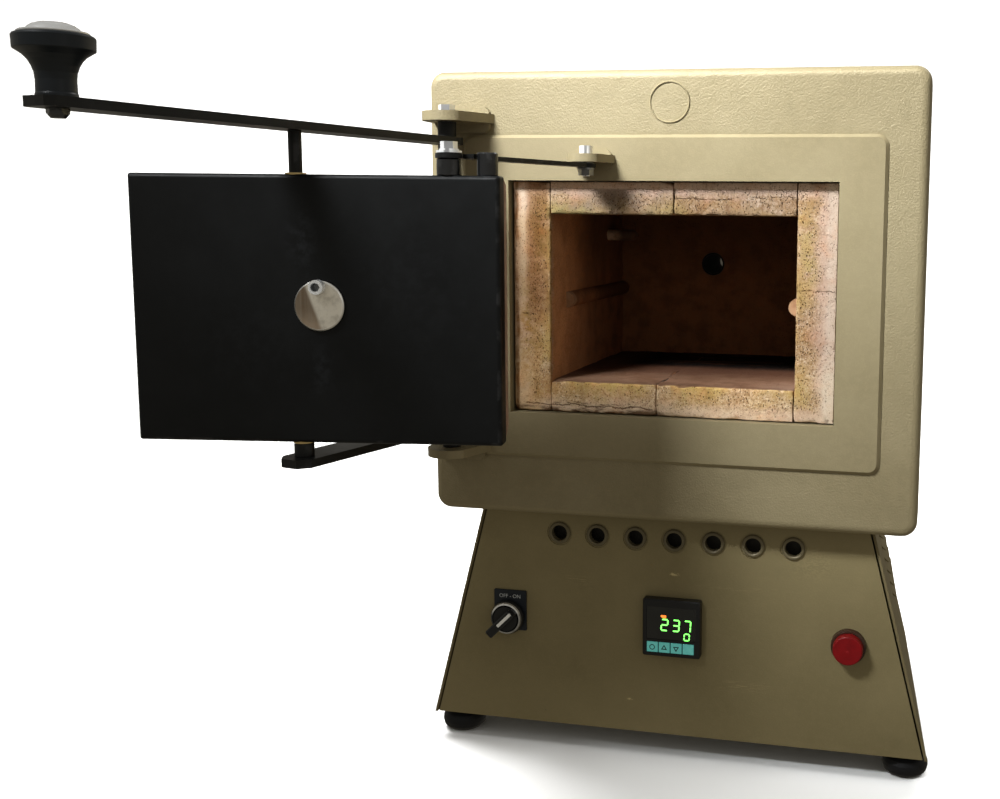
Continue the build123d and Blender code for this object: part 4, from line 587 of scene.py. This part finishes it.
SET = {
    M_CAST: ["front_frame"],
    M_SHEET: ["base_front_panel", "housing_shell"],
    M_SIDE_SHADED: ["base_side_panels"],
    M_REAR: ["rear_cover", "base_rear_panel"],
    M_TRAY: ["door_tray"],
    M_ARM: ["upper_arm", "lower_arm", "pivot_tube", "door_pivot_rod", "link_bar"],
    M_STUD: ["link_stud", "stop_buffer", "handle_bolt"],
    M_BAKE: ["handle_knob"],
    M_CAP: ["handle_cap"],
    M_BEZEL: ["switch_bezel_ring"],
    M_FLUE: ["flue_tube"],
    M_INNER_SHADE: ["base_top_plate", "base_floor_plate"],
    M_ZINC: ["panel_screws", "foot_screws", "frame_pivot_pins", "link_bolt", "link_stud_nut_and_washers"],
    M_SCREW: ["peephole_screw"],
    M_DARKSTEEL: ["link_nut_and_washers"],
    M_BRASS: ["door_pivot_bushes"],
    M_DISC: ["peephole_cover"],
    M_STEEL: ["peephole_tube", "flue_collar", "thermocouple_head"],
    M_BRICK: ["muffle_side_bricks", "muffle_roof_bricks", "muffle_floor_bricks", "muffle_rear_brick"],
    M_PLUG: ["door_refractory_plug"],
    M_CLAY: ["heating_rods"],
    M_SHEATH: ["thermocouple_sheath"],
    M_FIBRE: ["fibre_lining"],
    M_RUB: ["rubber_feet"],
    M_PLAST: ["switch_body", "switch_lever", "controller_case", "terminal_block", "mains_inlet", "fuse_holder", "lamp_body", "solid_state_relay"],
    M_PLATE: ["switch_legend_plate"],
    M_EYE: ["vent_eyelets"],
    M_WIN: ["controller_window"],
    M_KEY: ["controller_key_mode", "controller_key_up", "controller_key_down", "controller_key_set"],
    M_LENS: ["lamp_lens"],
    M_LTRIM: ["lamp_bezel"],
    M_ALU: ["relay_heatsink"],
}
for material, names in SET.items():
    for nm in names:
        o = NODES[nm]
        o.data.materials.clear()
        o.data.materials.append(material)


# ------------------------------------------------------------------ mesh helpers
def add(name, bm, material, body, replaces=(), smooth=None):
    me = bpy.data.meshes.new(name)
    bmesh.ops.recalc_face_normals(bm, faces=bm.faces)
    bm.to_mesh(me)
    bm.free()
    me.materials.append(material)
    o = bpy.data.objects.new(name, me)
    scene.collection.objects.link(o)
    if smooth is not None:
        me.shade_smooth()
        if smooth < 180:
            me.set_sharp_from_angle(angle=math.radians(smooth))
    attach(o, body)
    if replaces:
        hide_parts(*replaces)
    return o


def ladder(a, b, step, fine=(0.0004, 0.0009, 0.0016, 0.0026)):
    """Coordinates from a to b, closer together at both ends."""
    left = [a] + [a + f for f in fine if a + f < (a + b) / 2]
    right = [b - f for f in reversed(fine) if b - f > (a + b) / 2] + [b]
    n = max(1, int(round((right[0] - left[-1]) / step)))
    mid = [left[-1] + (right[0] - left[-1]) * i / n for i in range(1, n)]
    return left + mid + right


def block(bm, xs, ys, zs, shape):
    """Skin of a lattice box; shape moves each vertex."""
    verts = {}

    def v(i, j, k):
        key = (i, j, k)
        if key not in verts:
            verts[key] = bm.verts.new(shape(Vector((xs[i], ys[j], zs[k]))))
        return verts[key]

    nx, ny, nz = len(xs) - 1, len(ys) - 1, len(zs) - 1
    for i in range(nx):
        for k in range(nz):
            for j, flip in ((0, False), (ny, True)):
                q = [v(i, j, k), v(i + 1, j, k), v(i + 1, j, k + 1), v(i, j, k + 1)]
                bm.faces.new(q[::-1] if flip else q)
    for i in range(nx):
        for j in range(ny):
            for k, flip in ((0, True), (nz, False)):
                q = [v(i, j, k), v(i + 1, j, k), v(i + 1, j + 1, k), v(i, j + 1, k)]
                bm.faces.new(q[::-1] if flip else q)
    for j in range(ny):
        for k in range(nz):
            for i, flip in ((0, True), (nx, False)):
                q = [v(i, j, k), v(i, j + 1, k), v(i, j + 1, k + 1), v(i, j, k + 1)]
                bm.faces.new(q[::-1] if flip else q)


def wear_and_painted_highlight(lo, hi, seed, r0=0.0007, chip=0.0034, pit=0.0008, grow=(), **kw):
    """Rounded, chipped and pitted box shape, never outside lo..hi."""
    off = Vector((seed * 1.7, seed * 0.9, seed * 2.3))

    def f(p):
        n1 = noise.noise((p + off) * 130.0)
        n2 = noise.noise((p + off) * 46.0 + Vector((9, 3, 5)))
        n3 = noise.noise((p + off) * 210.0 + Vector((2, 8, 1)))
        r = r0 * (1.0 + 0.7 * n1)
        dd = max(max(CHX0 - p.x, p.x - CHX1), max(CHZ0 - p.z, p.z - CHZ1))
        if abs(dd) < 0.0040 and p.y < BY + 0.006:
            r += 0.0009 + 0.0014 * max(0.0, n1 + 0.35) + 0.0010 * max(0.0, n3)
        if p.z < BZ_LO + 0.004 and p.y < BY + 0.006 and p.x < 0.03:
            r += 0.0012 + 0.0016 * max(0.0, n1 + 0.2)
        if n2 > 0.26:
            r += chip * min(1.0, (n2 - 0.26) * 3.6)
        r = max(0.0004, r)
        q = Vector([min(max(p[a], lo[a] + r), hi[a] - r) for a in range(3)])
        d = p - q
        if d.length > 1e-9:
            p2 = q + d.normalized() * r
        else:
            p2 = p.copy()
        # pits on the exposed faces
        dist, pts = noise.voronoi((p + off) * 300.0)
        h = noise.cell(pts[0] * 3.7 + Vector((0.5, 0.5, 0.5)))
        rad = 0.14 + 0.22 * h
        e = [min(p[a] - lo[a], hi[a] - p[a]) for a in range(3)]
        a = min(range(3), key=lambda t: e[t])
        sgn = 1 if p[a] < (lo[a] + hi[a]) / 2 else -1
        if h > 0.35 and dist[0] < rad:
            p2[a] += pit * (0.4 + h) * (1.0 - dist[0] / rad) * sgn
        p2[a] += abs(noise.noise((p + off) * 18.0)) * 0.0005 * sgn
        # joints close up behind the front edge
        if p.y > BY + 0.0028:
            for axis, side, amount in grow:
                lim = hi[axis] if side > 0 else lo[axis]
                if abs(p[axis] - lim) < 1e-6:
                    p2[axis] = lim + side * amount
        return p2
    return f


def brick(name, lo, hi, seed, body="furnace", **kw):
    bm = bmesh.new()
    fine_y = [lo[1], lo[1] + 0.0004, lo[1] + 0.0009, lo[1] + 0.0016, lo[1] + 0.0026, lo[1] + 0.004, lo[1] + 0.006]
    n = int((hi[1] - fine_y[-1]) / 0.0045)
    ys = fine_y + [fine_y[-1] + (hi[1] - fine_y[-1]) * i / n for i in range(1, n + 1)]
    xs, zs = ladder(lo[0], hi[0], 0.00095), ladder(lo[2], hi[2], 0.00095)
    block(bm, xs, ys, zs, wear_and_painted_highlight(lo, hi, seed, **kw))
    return bm


# ------------------------------------------------------------------ muffle bricks
Y1 = BY + 0.215
LX0, RX1 = -0.1266, 0.1298
BZ0, BZ1 = 0.2918, 0.4742
G = 0.0004
left = add("brick_left", brick("l", (LX0, BY, BZ0), (CHX0 - 0.0001, Y1, BZ1), 1), M_BRICK, "furnace", ("muffle_side_bricks",), 40)
right = add("brick_right", brick("r", (CHX1 + 0.0001, BY, BZ0), (RX1, Y1, BZ1), 2), M_BRICK, "furnace", smooth=40)
rtl = add("brick_roof_left", brick("tl", (CHX0 + 0.0002, BY, CHZ1), (0.0032 - 0.0002, Y1, BZ1), 3, grow=((0, 1, 0.0002), (0, -1, 0.0002))), M_BRICK, "furnace", ("muffle_roof_bricks",), 40)
rtr = add("brick_roof_right", brick("tr", (0.0032 + 0.0002, BY, CHZ1), (CHX1 - 0.0006, Y1, BZ1), 4, grow=((0, 1, 0.0006), (0, -1, 0.0002))), M_BRICK, "furnace", smooth=40)
fll = add("brick_floor_left", brick("fl", (CHX0 + 0.0002, BY, BZ0), (-0.0097 - 0.0002, Y1, CHZ0), 5, grow=((0, 1, 0.0002), (0, -1, 0.0002))), M_BRICK, "furnace", ("muffle_floor_bricks",), 40)
flr = add("brick_floor_right", brick("fr", (-0.0097 + 0.0002, BY, BZ0), (CHX1 - 0.0006, Y1, CHZ0), 6, grow=((0, 1, 0.0006), (0, -1, 0.0002))), M_BRICK, "furnace", smooth=40)


# ------------------------------------------------------------------ display
EY0 = -0.1452
CF = EY0 - 0.008
KX, KZ = 0.0014, 0.1144
FACE = CF + 0.0005


def poly(bm, pts, y0, y1):
    """Extrude an x,z outline from y0 back to y1."""
    a = [bm.verts.new((p[0], y0, p[1])) for p in pts]
    b = [bm.verts.new((p[0], y1, p[1])) for p in pts]
    n = len(pts)
    bm.faces.new(a)
    bm.faces.new(b[::-1])
    for i in range(n):
        bm.faces.new((a[i], b[i], b[(i + 1) % n], a[(i + 1) % n]))


def segment(bm, x0, z0, x1, z1, t):
    d = Vector((x1 - x0, z1 - z0))
    L = d.length
    u = d / L
    n = Vector((-u.y, u.x))
    g = t * 0.14
    s, e = Vector((x0, z0)) + u * g, Vector((x1, z1)) - u * g
    h = t / 2
    pts = [s, s + u * h + n * h, e - u * h + n * h, e, e - u * h - n * h, s + u * h - n * h]
    poly(bm, [(p.x, p.y) for p in pts], FACE - 0.00028, FACE + 0.0001)


SEGS = {"2": "ABGED", "3": "ABGCD", "7": "ABC", "0": "ABCDEF"}


def digit(bm, ch, x, z, wd, ht, t, slant=0.06):
    def P(a, b):
        return (x + a * wd + slant * b * ht, z + b * ht)
    pos = {"A": (P(0, 1), P(1, 1)), "B": (P(1, 1), P(1, 0.5)), "C": (P(1, 0.5), P(1, 0)), "D": (P(0, 0), P(1, 0)),
           "E": (P(0, 0.5), P(0, 0)), "F": (P(0, 1), P(0, 0.5)), "G": (P(0, 0.5), P(1, 0.5))}
    for s in SEGS[ch]:
        (xa, za), (xb, zb) = pos[s]
        segment(bm, xa, za, xb, zb, t)


bm = bmesh.new()
digit(bm, "2", KX - 0.0084, KZ - 0.0017, 0.0052, 0.0092, 0.00110)
digit(bm, "3", KX + 0.0012, KZ - 0.0017, 0.0052, 0.0092, 0.00110)
digit(bm, "7", KX + 0.0106, KZ - 0.0017, 0.0052, 0.0092, 0.00110)
digit(bm, "0", KX + 0.0108, KZ - 0.0088, 0.0042, 0.0054, 0.00100)
add("display_digits", bm, M_DIGIT, "furnace")
bm = bmesh.new()
poly(bm, [(KX - 0.0066, KZ + 0.0086), (KX - 0.0046, KZ + 0.0086), (KX - 0.0042, KZ + 0.0090), (KX - 0.0042, KZ + 0.0106), (KX - 0.0046, KZ + 0.0110), (KX - 0.0084, KZ + 0.0110), (KX - 0.0088, KZ + 0.0106), (KX - 0.0086, KZ + 0.0096)], FACE - 0.00028, FACE + 0.0001)
add("display_indicator", bm, M_ORANGE, "furnace")

# key symbols: ring, two triangles, bare
KF = CF - 0.0005


def ring_pts(cx, cz, rad, n=28):
    return [(cx + rad * math.cos(2 * math.pi * i / n), cz + rad * math.sin(2 * math.pi * i / n)) for i in range(n)]


def band(bm, outer, inner, y0, y1):
    a = [bm.verts.new((p[0], y0, p[1])) for p in outer]
    b = [bm.verts.new((p[0], y0, p[1])) for p in inner]
    c = [bm.verts.new((p[0], y1, p[1])) for p in outer]
    d = [bm.verts.new((p[0], y1, p[1])) for p in inner]
    n = len(outer)
    for i in range(n):
        j = (i + 1) % n
        bm.faces.new((a[i], a[j], b[j], b[i]))
        bm.faces.new((c[i], d[i], d[j], c[j]))
        bm.faces.new((a[i], c[i], c[j], a[j]))
        bm.faces.new((b[i], b[j], d[j], d[i]))


KEYX = [KX - 0.0156, KX - 0.0056, KX + 0.0044, KX + 0.0144]
KEYZ = KZ - 0.0162
bm = bmesh.new()
band(bm, ring_pts(KEYX[0], KEYZ, 0.0023), ring_pts(KEYX[0], KEYZ, 0.0017), KF - 0.00012, KF + 0.0001)
add("key_mark_mode", bm, M_PLAST, "key_mode")


def tri(cx, cz, s, up):
    k = 1 if up else -1
    return [(cx - s * k, cz - 0.62 * s * k), (cx + s * k, cz - 0.62 * s * k), (cx, cz + 1.05 * s * k)]


for nm, i, up in (("up", 1, True), ("down", 2, False)):
    bm = bmesh.new()
    band(bm, tri(KEYX[i], KEYZ, 0.0025, up), tri(KEYX[i], KEYZ, 0.0013, up), KF - 0.00012, KF + 0.0001)
    add("key_mark_" + nm, bm, M_PLAST, "key_" + nm)


def words(name, text, x, z, size, y, body, material):
    c = bpy.data.curves.new(name, "FONT")
    c.body = text
    c.size = size
    c.align_x, c.align_y = "CENTER", "CENTER"
    c.extrude = 0.00006
    c.resolution_u = 6
    t = bpy.data.objects.new(name + "_c", c)
    scene.collection.objects.link(t)
    bpy.context.view_layer.update()
    me = bpy.data.meshes.new_from_object(t)
    bpy.data.objects.remove(t)
    me.transform(Matrix.Translation((x, y, z)) @ Euler((math.radians(90), 0, 0)).to_matrix().to_4x4())
    me.materials.clear()
    me.materials.append(material)
    o = bpy.data.objects.new(name, me)
    scene.collection.objects.link(o)
    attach(o, body)
    return o


words("legend_off_on", "OFF - ON", -0.1396, 0.1288, 0.0045, EY0 - 0.00142, "furnace", M_LEGEND)

# white stripe on the selector lever
bm = bmesh.new()
ca = math.radians(45.0)
SWX, SWZ = -0.1410, 0.1114
st = []
for a, b in ((-0.0045, -0.0011), (-0.0040, -0.00125), (0.0108, -0.00125), (0.0112, -0.0011), (0.0112, 0.0011), (0.0108, 0.00125), (-0.0040, 0.00125), (-0.0045, 0.0011)):
    st.append((SWX + a * math.cos(ca) - b * math.sin(ca), SWZ + a * math.sin(ca) + b * math.cos(ca)))
poly(bm, st, EY0 - 0.01955, EY0 - 0.0180)
add("lever_stripe", bm, M_WHITE, "selector")

# ------------------------------------------------------------------ stage
def plain(name, col, rough):
    m = Mat(name)
    m.set(Base_Color=m.mix(m.ramp(m.noise(1.5, 2.0), 0.3, 0.7), col, tuple(c * 0.985 for c in col)), Roughness=rough)
    m.b.inputs["Specular IOR Level"].default_value = 0.2
    return m.m


bm = bmesh.new()
prof = [(-7.0, 0.0), (-1.0, 0.0), (1.6, 0.0)]
for i in range(1, 13):
    a = math.radians(90.0 * i / 12)
    prof.append((1.6 + 1.4 * math.sin(a), 1.4 * (1 - math.cos(a))))
prof.append((3.0, 8.0))
rows = [[bm.verts.new((xx, p[0], p[1])) for p in prof] for xx in (-9.0, 9.0)]
for i in range(len(prof) - 1):
    bm.faces.new((rows[0][i], rows[1][i], rows[1][i + 1], rows[0][i + 1]))
me = bpy.data.meshes.new("backdrop")
bm.to_mesh(me)
bm.free()
me.materials.append(plain("backdrop_paper", (0.90, 0.90, 0.895), 0.9))
me.shade_smooth()
floor = bpy.data.objects.new("backdrop", me)
scene.collection.objects.link(floor)
floor.visible_diffuse = False
floor.visible_glossy = False


def area(name, loc, target, size, power, color=(1, 1, 1), size_y=None, spread=180):
    d = bpy.data.lights.new(name, "AREA")
    d.energy = power
    d.color = color
    d.shape = "RECTANGLE"
    d.size = size
    d.size_y = size_y or size
    d.spread = math.radians(spread)
    o = bpy.data.objects.new(name, d)
    scene.collection.objects.link(o)
    o.location = loc
    o.rotation_mode = "QUATERNION"
    o.rotation_quaternion = (Vector(target) - Vector(loc)).to_track_quat("-Z", "Y")
    o.visible_camera = False
    return o


area("key", (-0.70, -1.10, 1.60), (-0.095, -0.17, 0.735), 0.6, 5.3, (0.955, 0.985, 1.0), 0.4, 30)
area("side", (1.9, -1.3, 1.3), (0.05, -0.1, 0.40), 0.9, 0.25, (0.97, 0.985, 1.0), 0.9, 60)
paper_only = bpy.data.collections.new("paper_only")
paper_only.objects.link(floor)
for lamp in (area("floor_left", (-1.3, 0.5, 2.0), (-0.65, -0.1, 0.0), 0.9, 17.0, (1, 1, 1), 0.9, 80),
             area("top", (0.0, 1.5, 2.4), (0.0, 0.85, 0.0), 2.0, 34.0, (1, 1, 1), 1.4, 110),
             area("paper_left", (-2.4, 1.0, 2.0), (-1.7, 2.9, 0.9), 2.2, 64.0, (1, 1, 1), 1.8, 120),
             area("paper_right", (2.2, 1.0, 2.0), (1.4, 2.9, 0.8), 2.0, 46.0, (1, 1, 1), 1.6, 110),
             area("floor_right", (1.5, -0.3, 1.9), (0.75, 0.0, 0.0), 0.9, 8.0, (1, 1, 1), 0.9, 80)):
    lamp.light_linking.receiver_collection = paper_only
area("rim", (0.9, 1.6, 1.9), (0.0, 0.0, 0.3), 1.2, 3.0, (1.0, 0.99, 0.97), 1.0, 90)

world = bpy.data.worlds.new("world")
scene.world = world
world.use_nodes = True
sky = world.node_tree
bg = sky.nodes["Background"]
wc = sky.nodes.new("ShaderNodeTexCoord")
wz = sky.nodes.new("ShaderNodeSeparateXYZ")
sky.links.new(wc.outputs["Generated"], wz.inputs[0])
wr = sky.nodes.new("ShaderNodeMapRange")
wr.inputs[1].default_value, wr.inputs[2].default_value = -0.5, 0.8
wr.inputs[3].default_value, wr.inputs[4].default_value = 0.0, 1.0
sky.links.new(wz.outputs[2], wr.inputs[0])
wm = sky.nodes.new("ShaderNodeMix")
wm.data_type = "RGBA"
wm.inputs[6].default_value = (0.245, 0.222, 0.175, 1.0)
wm.inputs[7].default_value = (0.365, 0.355, 0.325, 1.0)
sky.links.new(wr.outputs[0], wm.inputs[0])
sky.links.new(wm.outputs[2], bg.inputs[0])
bg.inputs[1].default_value = 1.0
scene.view_settings.view_transform = "Standard"
scene.view_settings.look = "None"
scene.view_settings.exposure = 0.0
